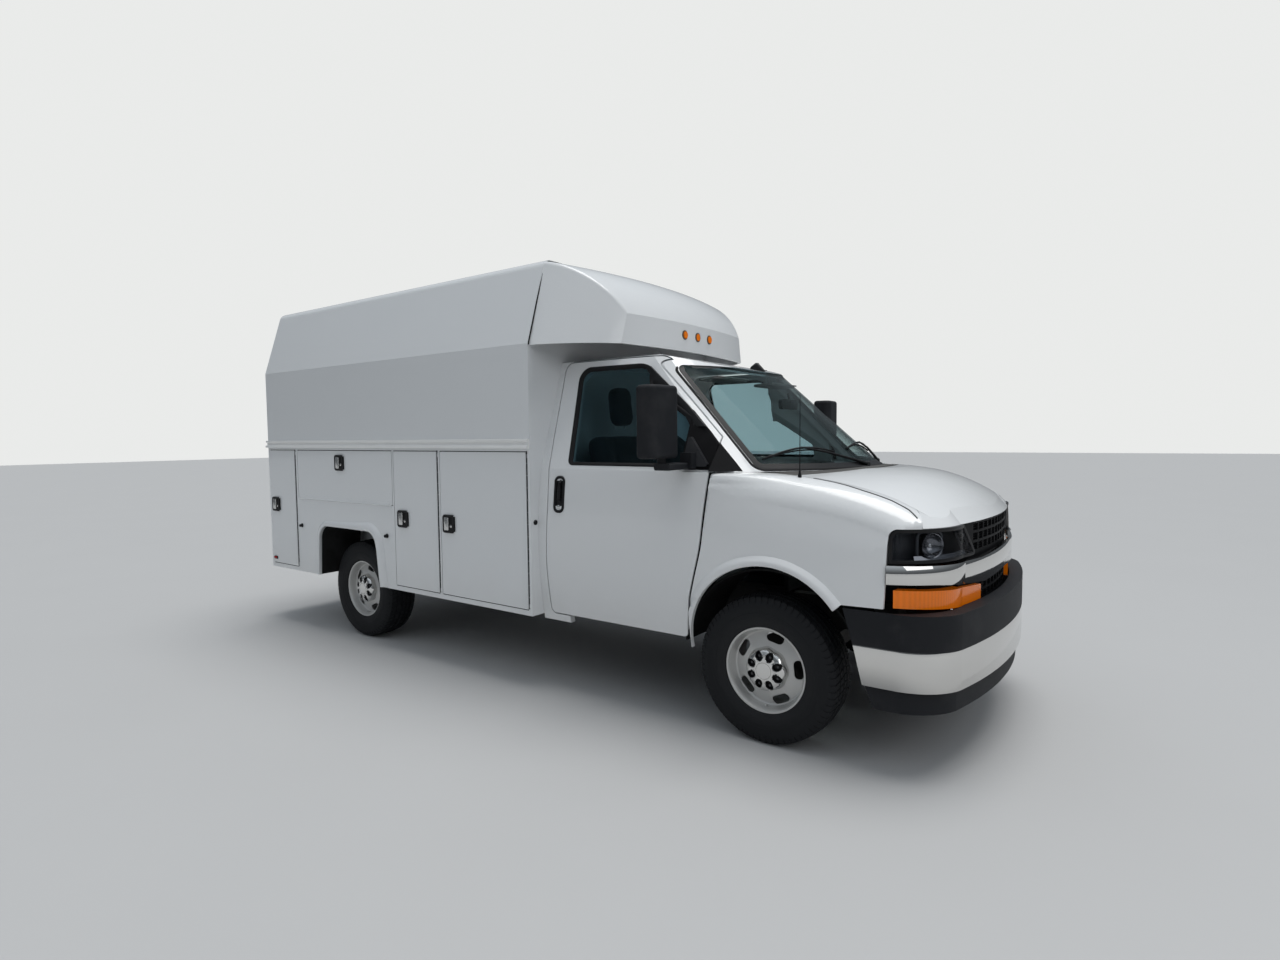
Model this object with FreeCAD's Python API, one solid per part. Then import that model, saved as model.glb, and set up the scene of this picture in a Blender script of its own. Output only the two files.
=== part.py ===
import FreeCAD, Part

import math
import os

# Utility van: a cutaway cab on a ladder frame, with an enclosed service body behind it.
# Millimetres. +X points forward, +Y to the driver's side (left), +Z up.
# The origin is on the floor, in the middle of the length between the two bumpers.

# Overall layout
WHEELBASE = 3531.0
FRONT_OVERHANG = 1010.0
CAB_REAR_SETBACK = 1518.0
BODY_LENGTH = 3195.0
STEP_BUMPER_DEPTH = 190.0
TOTAL_LENGTH = FRONT_OVERHANG + CAB_REAR_SETBACK + BODY_LENGTH + STEP_BUMPER_DEPTH
FRONT_AXLE_X = TOTAL_LENGTH / 2 - FRONT_OVERHANG
REAR_AXLE_X = FRONT_AXLE_X - WHEELBASE
BODY_FRONT_X = FRONT_AXLE_X - CAB_REAR_SETBACK
BODY_REAR_X = BODY_FRONT_X - BODY_LENGTH

# Wheels
TYRE_RADIUS = 387.0
TYRE_WIDTH = 248.0
RIM_RADIUS = 222.0
TRACK = 1682.0
WHEEL_Y = TRACK / 2
KINGPIN_Y = 692.0
HUB_RADIUS = 60.0

# Cab
CAB_FLOOR_Z = 705.0
CAB_BOTTOM_Z = 445.0
CAB_WIDE_Z = 1060.0
CAB_ROOF_Z = 2100.0
CAB_HALF_BOTTOM = 962.0
CAB_HALF_WIDE = 1008.0
CAB_HALF_BELT = 975.0
CAB_HALF_ROOF = 752.0
CAB_SKIN = 40.0
DOOR_GAP = 7.0
DOOR_SKIN = 8.0
DOOR_DEPTH = 58.0
DOOR_STEP = 34.0
GLASS = 5.0
SEAM = 4.0
HOOD_THICKNESS = 22.0
HOOD_HALF = 800.0
HOOD_EDGE_Z = 1160.0
FENDER_SKIN = 14.0
ARCH_X = 30.0
ARCH_Z = 490.0
ARCH_RADIUS = 447.0
ARCH_LIP = 28.0
LIP_PROUD = 12.0

# Service body
BODY_HALF = 1075.0
BODY_BOTTOM_Z = 476.0
BODY_TOP_Z = 2695.0
BODY_CREASE_Z = 2160.0
BODY_HALF_TOP = 912.0
SIDE_BOX_TOP_Z = 1549.0
AISLE_HALF = 620.0
BODY_FLOOR_Z = 800.0
WALL = 30.0
SHEET = 14.0
PANEL_DOOR = 25.0
PANEL_GAP = 6.0
PANEL_FLANGE = 14.0
RAIL_LOW_Z = 1519.0
RAIL_HIGH_Z = 1579.0
RAIL_PROUD = 24.0
BODY_ARCH_TOP_Z = 890.0
BODY_ARCH_HALF = 430.0
REAR_DOOR_HALF = 612.0
REAR_DOOR_TOP_Z = 2440.0

# Frame
RAIL_Y = 400.0
RAIL_WIDTH = 62.0
FRAME_LOW_Z = 520.0
FRAME_HIGH_Z = 690.0

# Pieces that seat on each other without touching stand this far apart.
SEAT_GAP = 0.3

SIDES = {"left": 1, "right": -1}


def vec(x, y, z):
    return FreeCAD.Vector(x, y, z)


# Lengths along the van are given from the front axle, positive forward.
def ahead(distance):
    return FRONT_AXLE_X + distance


def box(x0, x1, y0, y1, z0, z1):
    low = vec(min(x0, x1), min(y0, y1), min(z0, z1))
    return Part.makeBox(abs(x1 - x0), abs(y1 - y0), abs(z1 - z0), low)


def rod(start, end, radius):
    axis = end.sub(start)
    return Part.makeCylinder(radius, axis.Length, start, axis)


def fuse(shapes):
    shapes = list(shapes)
    if len(shapes) == 1:
        return shapes[0]
    return shapes[0].multiFuse(shapes[1:]).removeSplitter()


def mirrored(shape):
    return shape.mirror(vec(0, 0, 0), vec(0, 1, 0))


def both(shape):
    return Part.makeCompound([shape, mirrored(shape)])


def on_side(shape, side):
    return shape if side > 0 else mirrored(shape)


# The three ways a flat outline stands in the van: seen from the side, from the front, from above.
def from_side(u, v):
    return vec(ahead(u), 0, v)


def from_front(u, v):
    return vec(0, u, v)


def from_above(u, v):
    return vec(ahead(u), v, 0)


# A closed wire through corners (u, v, radius), each rounded by its radius.
def outline(corners, place):
    stations = []
    for index, (u, v, radius) in enumerate(corners):
        corner = FreeCAD.Vector(u, v, 0)
        before = FreeCAD.Vector(corners[index - 1][0], corners[index - 1][1], 0)
        following = corners[(index + 1) % len(corners)]
        after = FreeCAD.Vector(following[0], following[1], 0)
        if radius == 0:
            stations.append((corner, None, corner))
            continue
        towards_before = before.sub(corner).normalize()
        towards_after = after.sub(corner).normalize()
        half_angle = towards_before.getAngle(towards_after) / 2
        bisector = towards_before.add(towards_after).normalize()
        setback = radius / math.tan(half_angle)
        centre = corner.add(bisector.multiply(radius / math.sin(half_angle)))
        bisector = towards_before.add(towards_after).normalize()
        middle = centre.sub(bisector.multiply(radius))
        start = corner.add(towards_before.multiply(setback))
        end = corner.add(towards_after.multiply(setback))
        stations.append((start, middle, end))
    edges = []
    for index, (start, middle, end) in enumerate(stations):
        if middle is not None:
            arc = [place(p.x, p.y) for p in (start, middle, end)]
            edges.append(Part.Arc(*arc).toShape())
        next_start = stations[(index + 1) % len(stations)][0]
        if end.distanceToPoint(next_start) > 0.01:
            edges.append(Part.makeLine(place(end.x, end.y), place(next_start.x, next_start.y)))
    return Part.Wire(edges)


def extruded(wire, low, high, direction):
    face = Part.Face(wire)
    face.translate(vec(*[low * d for d in direction]))
    return face.extrude(vec(*[(high - low) * d for d in direction]))


def side_prism(corners, y0, y1):
    return extruded(outline(corners, from_side), y0, y1, (0, 1, 0))


def front_prism(corners, x0, x1):
    return extruded(outline(corners, from_front), x0, x1, (1, 0, 0))


def plan_prism(corners, z0, z1):
    return extruded(outline(corners, from_above), z0, z1, (0, 0, 1))


# Masses of the cab: the whole outer form, shrunk by a depth under the paint.
def bowed_wire(x_centre, x_corner, y_corner, pillar, side, rear_half, z, depth):
    px, py = pillar
    sx, sy = side
    right = [
        vec(ahead(x_corner - depth), -(y_corner - depth), z),
        vec(ahead(x_centre - depth), 0, z),
        vec(ahead(x_corner - depth), y_corner - depth, z),
    ]
    left_pillar = vec(ahead(px - depth), py - depth, z)
    left_side = vec(ahead(sx - depth), sy - depth, z)
    left_rear = vec(BODY_FRONT_X, rear_half - depth, z)
    flip = lambda p: vec(p.x, -p.y, p.z)
    edges = [
        Part.Arc(*right).toShape(),
        Part.makeLine(right[2], left_pillar),
        Part.makeLine(left_pillar, left_side),
        Part.makeLine(left_side, left_rear),
        Part.makeLine(left_rear, flip(left_rear)),
        Part.makeLine(flip(left_rear), flip(left_side)),
        Part.makeLine(flip(left_side), flip(left_pillar)),
        Part.makeLine(flip(left_pillar), right[0]),
    ]
    return Part.Wire(edges)


WINDSHIELD_BASE_Z = 1395.0
WINDSHIELD_BASE = (250.0, -133.0, 825.0)
WINDSHIELD_TOP = (-572.0, -776.0, 700.0)
PILLAR_BASE = (-200.0, 893.0)
PILLAR_TOP = (-850.0, 738.0)
SIDE_BASE = (-480.0, 966.0)
SIDE_TOP = (-1000.0, 748.0)
ROOF_CROWN = 42.0


def greenhouse(depth):
    base = bowed_wire(*WINDSHIELD_BASE, PILLAR_BASE, SIDE_BASE, CAB_HALF_BELT, WINDSHIELD_BASE_Z, depth)
    top = bowed_wire(*WINDSHIELD_TOP, PILLAR_TOP, SIDE_TOP, CAB_HALF_ROOF, CAB_ROOF_Z, depth)
    glasshouse = Part.makeLoft([base, top], True, True)
    roof_line = side_prism(
        [
            (-1700, 1300, 0),
            (-1700, CAB_ROOF_Z - depth, 0),
            (-930, CAB_ROOF_Z + 4 - depth, 1500),
            (-330, 1960 - depth, 0),
            (400, 1960 - depth, 0),
            (400, 1300, 0),
        ],
        -1200,
        1200,
    )
    crown_radius = (CAB_HALF_ROOF**2 + ROOF_CROWN**2) / (2 * ROOF_CROWN)
    crown = Part.makeCylinder(
        crown_radius - depth, 2400, vec(ahead(-1800), 0, CAB_ROOF_Z + 6 - crown_radius), vec(1, 0, 0)
    )
    return glasshouse.common(roof_line).common(crown)


def cab_side(depth):
    half = CAB_HALF_WIDE - depth
    points = [
        (CAB_HALF_BOTTOM - depth, CAB_BOTTOM_Z),
        (half, CAB_WIDE_Z),
        (CAB_HALF_BELT - depth, WINDSHIELD_BASE_Z),
    ]
    right = [vec(BODY_FRONT_X, -y, z) for y, z in points]
    left = [vec(BODY_FRONT_X, y, z) for y, z in points]
    edges = [
        Part.makeLine(right[0], left[0]),
        Part.Arc(*left).toShape(),
        Part.makeLine(left[2], right[2]),
        Part.Arc(*reversed(right)).toShape(),
    ]
    return Part.Face(Part.Wire(edges)).extrude(vec(ahead(-260) - BODY_FRONT_X, 0, 0))


def cab_mass(depth):
    return fuse([cab_side(depth), greenhouse(depth)])


# Hood and fender form: sections from the cowl to the grille.
# Each is the distance ahead of the front axle, the height at the hood seam and the height in the middle.
NOSE_SECTIONS = [
    (-445.0, 1397.0, 1405.0),
    (-200.0, 1393.0, 1410.0),
    (140.0, 1378.0, 1414.0),
    (370.0, 1343.0, 1405.0),
    (570.0, 1291.0, 1378.0),
    (700.0, 1238.0, 1332.0),
    (800.0, 1183.0, 1276.0),
    (880.0, 1125.0, 1212.0),
    (960.0, 1050.0, 1130.0),
]
NOSE_SHOULDER = 150.0


def nose_section(x, edge_z, middle_z, depth):
    shoulder = min(NOSE_SHOULDER, 26 + 0.32 * (x + 445))
    side_half = CAB_HALF_BELT - 8 - depth
    side_z = edge_z - shoulder - depth
    wide_z = (side_z + CAB_BOTTOM_Z) / 2 + 110
    points = [
        (CAB_HALF_BOTTOM - depth, CAB_BOTTOM_Z),
        (CAB_HALF_WIDE - depth, wide_z),
        (side_half, side_z),
        (side_half - 62, edge_z - 0.22 * shoulder - depth),
        (HOOD_HALF, edge_z - depth),
    ]
    left = [vec(ahead(x), y, z) for y, z in points]
    right = [vec(ahead(x), -y, z) for y, z in points]
    edges = [
        Part.makeLine(right[0], left[0]),
        Part.Arc(left[0], left[1], left[2]).toShape(),
        Part.Arc(left[2], left[3], left[4]).toShape(),
        Part.Arc(left[4], vec(ahead(x), 0, middle_z - depth), right[4]).toShape(),
        Part.Arc(right[4], right[3], right[2]).toShape(),
        Part.Arc(right[2], right[1], right[0]).toShape(),
    ]
    return Part.Wire(edges)


NOSE_X = 940.0
NOSE_CORNER = (868.0, 620.0)
NOSE_BEND = (798.0, 840.0)
NOSE_SIDE = (600.0, 985.0)


def nose_wire(depth, inset, z):
    tip = vec(ahead(NOSE_X - depth), 0, z)
    corner = [vec(ahead(NOSE_CORNER[0] - depth), s * (NOSE_CORNER[1] - inset), z) for s in (1, -1)]
    bend = [vec(ahead(NOSE_BEND[0] - depth), s * (NOSE_BEND[1] - inset), z) for s in (1, -1)]
    side = [vec(ahead(NOSE_SIDE[0] - depth), s * (NOSE_SIDE[1] - inset), z) for s in (1, -1)]
    wide = [vec(ahead(200), s * (CAB_HALF_WIDE + 30 - inset), z) for s in (1, -1)]
    rear = [vec(ahead(-700), s * (CAB_HALF_WIDE + 60 - inset), z) for s in (1, -1)]
    edges = [
        Part.Arc(corner[1], tip, corner[0]).toShape(),
        Part.Arc(corner[0], bend[0], side[0]).toShape(),
        Part.makeLine(side[0], wide[0]),
        Part.makeLine(wide[0], rear[0]),
        Part.makeLine(rear[0], rear[1]),
        Part.makeLine(rear[1], wide[1]),
        Part.makeLine(wide[1], side[1]),
        Part.Arc(side[1], bend[1], corner[1]).toShape(),
    ]
    return Part.Wire(edges)


def nose_plan(depth):
    return extruded(nose_wire(depth, depth, 0), 200, 1700, (0, 0, 1))


def nose_mass(depth):
    sections = [nose_section(x, edge, middle, depth) for x, edge, middle in NOSE_SECTIONS]
    return Part.makeLoft(sections, True, False).common(nose_plan(depth))


# The cab door's outline, seen from the side.
def door_outline(grow):
    corners = [
        (-440, 488, 30),
        (-416, 720, 200),
        (-345, 991, 800),
        (-304, 1396, 60),
        (-322, 1672, 40),
        (-735, 2062, 90),
        (-1476, 2062, 60),
        (-1464, 1600, 900),
        (-1445, 1200, 900),
        (-1460, 800, 900),
        (-1450, 488, 40),
    ]
    wire = outline(corners, from_side)
    return wire if grow == 0 else wire.makeOffset2D(grow)


DOOR_INNER_Y = 700.0
PILLAR_STRIP = 30.0
FRAME_STRIP = 20.0
WINDOW = [
    (-1298, 1418, 30),
    (-1345, 2010, 75),
    (-850, 2008, 150),
    (-480, 1728, 40),
    (-480, 1418, 25),
]


def window_wire(grow):
    wire = outline(WINDOW, from_side)
    return wire if grow == 0 else wire.makeOffset2D(grow)


# Seen from the front, the windshield lies between the pillars, the header and the cowl.
def windshield_zone(grow):
    z0 = WINDSHIELD_BASE_Z + 6 - grow
    z1 = 2002 + grow
    corners = [(-798 - grow, z0, 30), (798 + grow, z0, 30), (718 + grow, z1, 60), (-718 - grow, z1, 60)]
    return front_prism(corners, ahead(WINDSHIELD_TOP[1] - 14), ahead(400))


def slab(wire, y0, y1):
    return extruded(wire, y0, y1, (0, 1, 0))


def cab_doors():
    full = cab_mass(0)
    under_skin = cab_mass(DOOR_SKIN)
    inside = cab_mass(DOOR_DEPTH)
    glass_out = cab_mass(16)
    glass_in = cab_mass(16 + GLASS)
    shapes = {}
    window = slab(window_wire(0), 300, 1300).cut(windshield_zone(PILLAR_STRIP + DOOR_GAP + FRAME_STRIP))
    skin = full.cut(under_skin).common(slab(door_outline(-DOOR_GAP), DOOR_INNER_Y, 1300))
    body = under_skin.cut(inside).common(slab(door_outline(-DOOR_STEP), DOOR_INNER_Y, 1300))
    door = fuse([skin, body]).cut(window).cut(windshield_zone(PILLAR_STRIP + DOOR_GAP))
    handle = box(ahead(-1385), ahead(-1315), CAB_HALF_WIDE - 30, CAB_HALF_WIDE + 30, 1168, 1322)
    door = door.cut(handle.common(cab_mass(0).cut(cab_mass(6))))
    glass = glass_out.cut(glass_in).common(window)
    for name, side in SIDES.items():
        shapes["cab_door_" + name] = on_side(door, side)
        shapes["door_glass_" + name] = on_side(glass, side)
    return shapes


MIRROR_X0 = -560.0
MIRROR_X1 = -430.0
MIRROR_IN = 1045.0
MIRROR_OUT = 1280.0
MIRROR_LOW_Z = 1472.0
MIRROR_HIGH_Z = 1850.0


def mirrors():
    housing = plan_prism(
        [
            (MIRROR_X0, MIRROR_IN, 18),
            (MIRROR_X0, MIRROR_OUT, 18),
            (MIRROR_X1 - 20, MIRROR_OUT, 50),
            (MIRROR_X1, MIRROR_IN, 50),
        ],
        MIRROR_LOW_Z,
        MIRROR_HIGH_Z,
    )
    edges = [e for e in housing.Edges if e.BoundBox.ZLength < 1]
    housing = housing.makeFillet(22, edges)
    glass_pocket = box(
        ahead(MIRROR_X0 - 5), ahead(MIRROR_X0 + 12), MIRROR_IN + 20, MIRROR_OUT - 20,
        MIRROR_LOW_Z + 22, MIRROR_HIGH_Z - 22,
    )
    housing = housing.cut(glass_pocket)
    post = rod(vec(ahead(-495), 1140, 1435), vec(ahead(-495), 1140, MIRROR_LOW_Z + 30), 24)
    arm = side_prism([(-520, 1410, 10), (-520, 1446, 10), (-420, 1446, 10), (-420, 1410, 10)], 985, 1175)
    sail = slab(outline([(-478, 1424, 10), (-478, 1600, 10), (-330, 1424, 10)], from_side), 800, 1010)
    sail = sail.common(cab_mass(-22).cut(cab_mass(0)))
    foot = box(ahead(-470), ahead(-400), 950, 1000, 1414, 1500).cut(cab_mass(0))
    mirror = fuse([housing, post, arm, foot, sail])
    return {"mirror_" + name: on_side(mirror, side) for name, side in SIDES.items()}


def cab_shell():
    shell = greenhouse(0).cut(greenhouse(CAB_SKIN))
    quarter = cab_side(0).cut(cab_side(CAB_SKIN)).common(box(BODY_FRONT_X, ahead(-1300), -1300, 1300, 0, 1395))
    shell = fuse([shell, quarter])
    aperture = slab(door_outline(0), 300, 1300).cut(windshield_zone(PILLAR_STRIP))
    shell = shell.cut(aperture).cut(mirrored(aperture)).cut(windshield_zone(0))
    return max(shell.Solids, key=lambda s: s.Volume)


def windshield():
    glass = greenhouse(WINDSHIELD_DEPTH).cut(greenhouse(WINDSHIELD_DEPTH + 2 * GLASS))
    return glass.common(windshield_zone(0))


WINDSHIELD_DEPTH = 6.0
COWL_BACK = 14.0
HOOD_REAR_CORNER = 105.0
HOOD_REAR_MIDDLE = 335.0
HOOD_LIP = 6.0
HOOD_LEAN = 0.85
HOOD_TAPER = 0.3


def bow_prism(corner_x, middle_x, half, reach, z0, z1):
    # A plan shape whose rear edge is an arc and whose front is square.
    a = vec(ahead(corner_x), -half, 0)
    b = vec(ahead(middle_x), 0, 0)
    c = vec(ahead(corner_x), half, 0)
    d = vec(ahead(reach), half, 0)
    e = vec(ahead(reach), -half, 0)
    wire = Part.Wire([Part.Arc(a, b, c).toShape(), Part.makeLine(c, d), Part.makeLine(d, e), Part.makeLine(e, a)])
    return extruded(wire, z0, z1, (0, 0, 1))


# In front the hood widens over the lamps.
def hood_flare(grow):
    wire = outline(
        [(640, HOOD_HALF - SEAM, 0), (700, HOOD_HALF + 6, 20), (738, 855, 30), (770, 935, 0), (840, 1040, 0),
         (1100, 1040, 0), (1100, HOOD_HALF - SEAM, 0)],
        from_above,
    )
    wire = wire if grow == 0 else wire.makeOffset2D(grow)
    return extruded(wire, HOOD_EDGE_Z, 1600, (0, 0, 1))


# The front of the hood leans back to a crease, as one face above lamps and grille.
def hood_face(depth):
    low = nose_wire(HOOD_LIP + depth, HOOD_TAPER * (HOOD_LIP + depth), HOOD_EDGE_Z - 10)
    lean = HOOD_LIP + depth + HOOD_LEAN * 250
    high = nose_wire(lean, HOOD_TAPER * lean, HOOD_EDGE_Z + 240)
    return Part.makeLoft([low, high], True, True)


def hood():
    skin = nose_mass(0).common(hood_face(0)).cut(nose_mass(HOOD_THICKNESS).common(hood_face(HOOD_THICKNESS)))
    middle = bow_prism(HOOD_REAR_CORNER, HOOD_REAR_MIDDLE, HOOD_HALF - SEAM, 1100, HOOD_EDGE_Z, 1600)
    region = fuse([middle, hood_flare(0), mirrored(hood_flare(0))])
    return skin.common(region)


def cowl():
    skin = nose_mass(4).cut(nose_mass(COWL_BACK))
    outer = bow_prism(-110, WINDSHIELD_BASE[0] + 12, HOOD_HALF - SEAM, 1100, 1200, 1600)
    hood_side = bow_prism(HOOD_REAR_CORNER - 8, HOOD_REAR_MIDDLE - 8, HOOD_HALF - SEAM, 1100, 1200, 1600)
    return skin.common(outer).cut(hood_side)


FENDER_FRONT = 622.0


def fenders():
    skin = nose_mass(0).cut(nose_mass(FENDER_SKIN))
    region = side_prism(
        [
            (-425, 430, 0),
            (-416 + DOOR_GAP, 720, 200),
            (-345 + DOOR_GAP, 991, 800),
            (-304 + DOOR_GAP, 1370, 0),
            (-304 + DOOR_GAP, 1500, 0),
            (840, 1500, 0),
            (840, HOOD_EDGE_Z, 0),
            (FENDER_FRONT, HOOD_EDGE_Z, 40),
            (FENDER_FRONT - 16, 795, 0),
            (380, 795, 0),
            (380, 430, 0),
        ],
        HOOD_HALF,
        1300,
    )
    arch = Part.makeCylinder(ARCH_RADIUS, 700, vec(ahead(ARCH_X), 600, ARCH_Z), vec(0, 1, 0))
    wing = skin.common(region).cut(arch).cut(hood_flare(SEAM))
    lip_out = Part.makeCylinder(ARCH_RADIUS + ARCH_LIP, 700, vec(ahead(ARCH_X), 600, ARCH_Z), vec(0, 1, 0))
    lip_zone = side_prism([(-420, 445, 0), (-420, 1100, 0), (430, 1100, 0), (430, 800, 0), (0, 445, 0)], 700, 1300)
    lip = nose_mass(-LIP_PROUD).cut(nose_mass(FENDER_SKIN)).common(lip_out.cut(arch)).common(lip_zone)
    wing = fuse([wing, lip])
    return both(max(wing.Solids, key=lambda s: s.Volume))


LAMP_DEPTH = 70.0
TURN_DEPTH = 50.0
BAR_BACK = 8.0
GRILLE_FACE = 24.0
GRILLE_BACK = 44.0
LAMP_LOW_Z = 1006.0
LAMP_HIGH_Z = HOOD_EDGE_Z - SEAM


def front_fittings():
    shapes = {}
    face = nose_mass(4).cut(nose_mass(LAMP_DEPTH))
    lamp = front_prism(
        [(480, LAMP_LOW_Z, 12), (1050, LAMP_LOW_Z, 0), (1050, LAMP_HIGH_Z, 0), (612, LAMP_HIGH_Z, 12)],
        ahead(FENDER_FRONT + SEAM),
        ahead(1000),
    )
    lamp = lamp.common(
        side_prism([(FENDER_FRONT + SEAM, 900, 0), (FENDER_FRONT + SEAM, LAMP_HIGH_Z, 46), (1000, LAMP_HIGH_Z, 0),
                    (1000, 900, 0)], 400, 1100)
    )
    shapes["headlamps"] = both(face.common(lamp))
    turn = front_prism(
        [(400, 752, 10), (1050, 808, 0), (1050, 888, 0), (400, 846, 10)], ahead(640 + SEAM), ahead(1000)
    )
    turn_lamp = nose_mass(4).cut(nose_mass(TURN_DEPTH)).common(turn)
    shapes["turn_lamps"] = both(turn_lamp)
    bar = front_prism(
        [
            (-1100, 915, 0), (-870, 908, 0), (-400, 862, 60), (0, 884, 0), (400, 862, 60), (870, 908, 0),
            (1100, 915, 0), (1100, 1000, 0), (840, 994, 0), (450, 986, 60), (0, 1006, 0), (-450, 986, 60),
            (-840, 994, 0), (-1100, 1000, 0),
        ],
        ahead(FENDER_FRONT - 6 + SEAM),
        ahead(1100),
    )
    legs = nose_mass(0).cut(nose_mass(GRILLE_FACE - SEAT_GAP)).common(both(box(ahead(700), ahead(1000), 280, 330, 900, 960)))
    shapes["grille_bar"] = fuse([nose_mass(-12).cut(nose_mass(BAR_BACK)).common(bar)] + legs.Solids)
    back = nose_mass(GRILLE_FACE).cut(nose_mass(GRILLE_BACK))
    grille = back.common(box(ahead(700), ahead(1000), -610, 610, 730, HOOD_EDGE_Z - SEAM))
    slots = []
    for low, high in ((1016, 1052), (1064, 1100), (1112, 1146), (764, 798), (810, 844)):
        for column in range(-6, 7):
            middle = column * 70
            slots.append(box(ahead(780), ahead(1000), middle - 29, middle + 29, low, high))
    grille = grille.cut(Part.makeCompound(slots))
    keep = [shapes["headlamps"], shapes["turn_lamps"]]
    for other in keep:
        grille = grille.cut(other)
    shapes["grille"] = max(grille.Solids, key=lambda s: s.Volume)
    return shapes


BUMPER_FRONT = FRONT_OVERHANG
BUMPER_CORNER = (905.0, 800.0)
BUMPER_END_Y = 985.0


def bumper_mass(depth, swell):
    front = BUMPER_FRONT + swell - depth
    corner_x, corner_y = BUMPER_CORNER
    tip = vec(ahead(front), 0, 0)
    corner = [vec(ahead(corner_x + swell - depth), s * (corner_y - depth), 0) for s in (1, -1)]
    bend = [vec(ahead(815 + swell - depth), s * (930 + swell - depth), 0) for s in (1, -1)]
    side = [vec(ahead(680), s * (BUMPER_END_Y + swell - depth), 0) for s in (1, -1)]
    rear = [vec(ahead(380), s * (BUMPER_END_Y + 8 + swell - depth), 0) for s in (1, -1)]
    edges = [
        Part.Arc(corner[1], tip, corner[0]).toShape(),
        Part.Arc(corner[0], bend[0], side[0]).toShape(),
        Part.makeLine(side[0], rear[0]),
        Part.makeLine(rear[0], rear[1]),
        Part.makeLine(rear[1], side[1]),
        Part.Arc(side[1], bend[1], corner[1]).toShape(),
    ]
    return extruded(Part.Wire(edges), 200, 900, (0, 0, 1))


BUMPER_SHEET = 10.0
PAD_TOP_Z = 778.0
CHROME_TOP_Z = 612.0
CHROME_LOW_Z = 428.0
AIR_DAM_Z = 318.0


def front_bumper():
    shell = bumper_mass(0, 0).cut(bumper_mass(BUMPER_SHEET, 0))
    zone = side_prism(
        [(470, CHROME_TOP_Z, 0), (1100, CHROME_TOP_Z, 0), (1100, CHROME_LOW_Z, 0), (515, CHROME_LOW_Z, 0)],
        -1200,
        1200,
    )
    shapes = {"front_bumper": shell.common(zone)}
    pad_shell = bumper_mass(0, 0).cut(bumper_mass(14, 0))
    pad_zone = side_prism(
        [(420, PAD_TOP_Z, 0), (1100, PAD_TOP_Z, 0), (1100, CHROME_TOP_Z, 0), (470, CHROME_TOP_Z, 0)], -1200, 1200
    )
    ledge = bumper_mass(14, 0).common(
        side_prism([(430, PAD_TOP_Z - 14, 0), (1100, PAD_TOP_Z - 14, 0), (1100, PAD_TOP_Z, 0), (430, PAD_TOP_Z, 0)],
                   -1200, 1200)
    )
    ledge = ledge.cut(nose_mass(-3)).cut(box(ahead(-200), ahead(560), -900, 900, 200, 900))
    pad = fuse([pad_shell.common(pad_zone), ledge])
    dam_shell = bumper_mass(26, 0).cut(bumper_mass(38, 0))
    dam_zone = side_prism(
        [(515, CHROME_LOW_Z, 0), (1100, CHROME_LOW_Z, 0), (1100, AIR_DAM_Z, 0), (560, AIR_DAM_Z, 0)], -1200, 1200
    )
    seat = bumper_mass(BUMPER_SHEET, 0).cut(bumper_mass(38, 0)).common(
        side_prism([(515, CHROME_LOW_Z, 0), (1100, CHROME_LOW_Z, 0), (1100, CHROME_LOW_Z + 12, 0),
                    (515, CHROME_LOW_Z + 12, 0)], -1200, 1200)
    )
    dam = fuse([dam_shell.common(dam_zone), seat])
    shapes["bumper_fascia"] = Part.makeCompound([pad, dam])
    return shapes


# Everything that rolls or steers.
def tyre_solid():
    half = TYRE_WIDTH / 2
    shoulder = [(half - 24, TYRE_RADIUS), (half - 8, TYRE_RADIUS - 14), (half, TYRE_RADIUS - 35)]
    profile = [(half, RIM_RADIUS)] + shoulder[::-1] + [(-y, r) for y, r in shoulder] + [(-half, RIM_RADIUS)]
    points = [vec(r, y, 0) for y, r in profile]
    wire = Part.makePolygon(points + [points[0]])
    return Part.Face(wire).revolve(vec(0, 0, 0), vec(0, 1, 0), 360)


SLOT_RADIUS = 164.0
SLOT_HALF = 20.0
SLOT_ROUND = 22.0


def rim_solid():
    half = TYRE_WIDTH / 2 - 20
    profile = [
        (half, RIM_RADIUS), (half, RIM_RADIUS - 12), (half - 30, RIM_RADIUS - 22), (half - 60, 188),
        (half - 46, 140), (half - 38, 106), (half, 100), (half + 4, 50), (half + 4, 0),
        (half - 70, 0), (half - 70, 140), (half - 82, 184), (half - 66, RIM_RADIUS - 24),
        (-half, RIM_RADIUS - 14), (-half, RIM_RADIUS),
    ]
    points = [vec(r, y, 0) for y, r in profile]
    wire = Part.makePolygon(points + [points[0]])
    rim = Part.Face(wire).revolve(vec(0, 0, 0), vec(0, 1, 0), 360)
    slots = []
    for index in range(5):
        slot = rod(vec(-SLOT_HALF, 0, SLOT_RADIUS), vec(-SLOT_HALF, 200, SLOT_RADIUS), SLOT_ROUND)
        end = rod(vec(SLOT_HALF, 0, SLOT_RADIUS), vec(SLOT_HALF, 200, SLOT_RADIUS), SLOT_ROUND)
        middle = box(-SLOT_HALF, SLOT_HALF, 0, 200, SLOT_RADIUS - SLOT_ROUND, SLOT_RADIUS + SLOT_ROUND)
        slot = fuse([slot, end, middle])
        slot.rotate(vec(0, 0, 0), vec(0, 1, 0), 72 * index)
        slots.append(slot)
    return rim.cut(Part.makeCompound(slots))


def wheels():
    shapes = {}
    tyre = tyre_solid()
    rim = rim_solid()
    for end, x in (("front", FRONT_AXLE_X), ("rear", REAR_AXLE_X)):
        for name, side in SIDES.items():
            for kind, solid in (("tyre", tyre), ("rim", rim)):
                piece = solid.copy()
                piece.translate(vec(x, WHEEL_Y, TYRE_RADIUS))
                shapes[kind + "_" + end + "_" + name] = on_side(piece, side)
    return shapes


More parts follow.
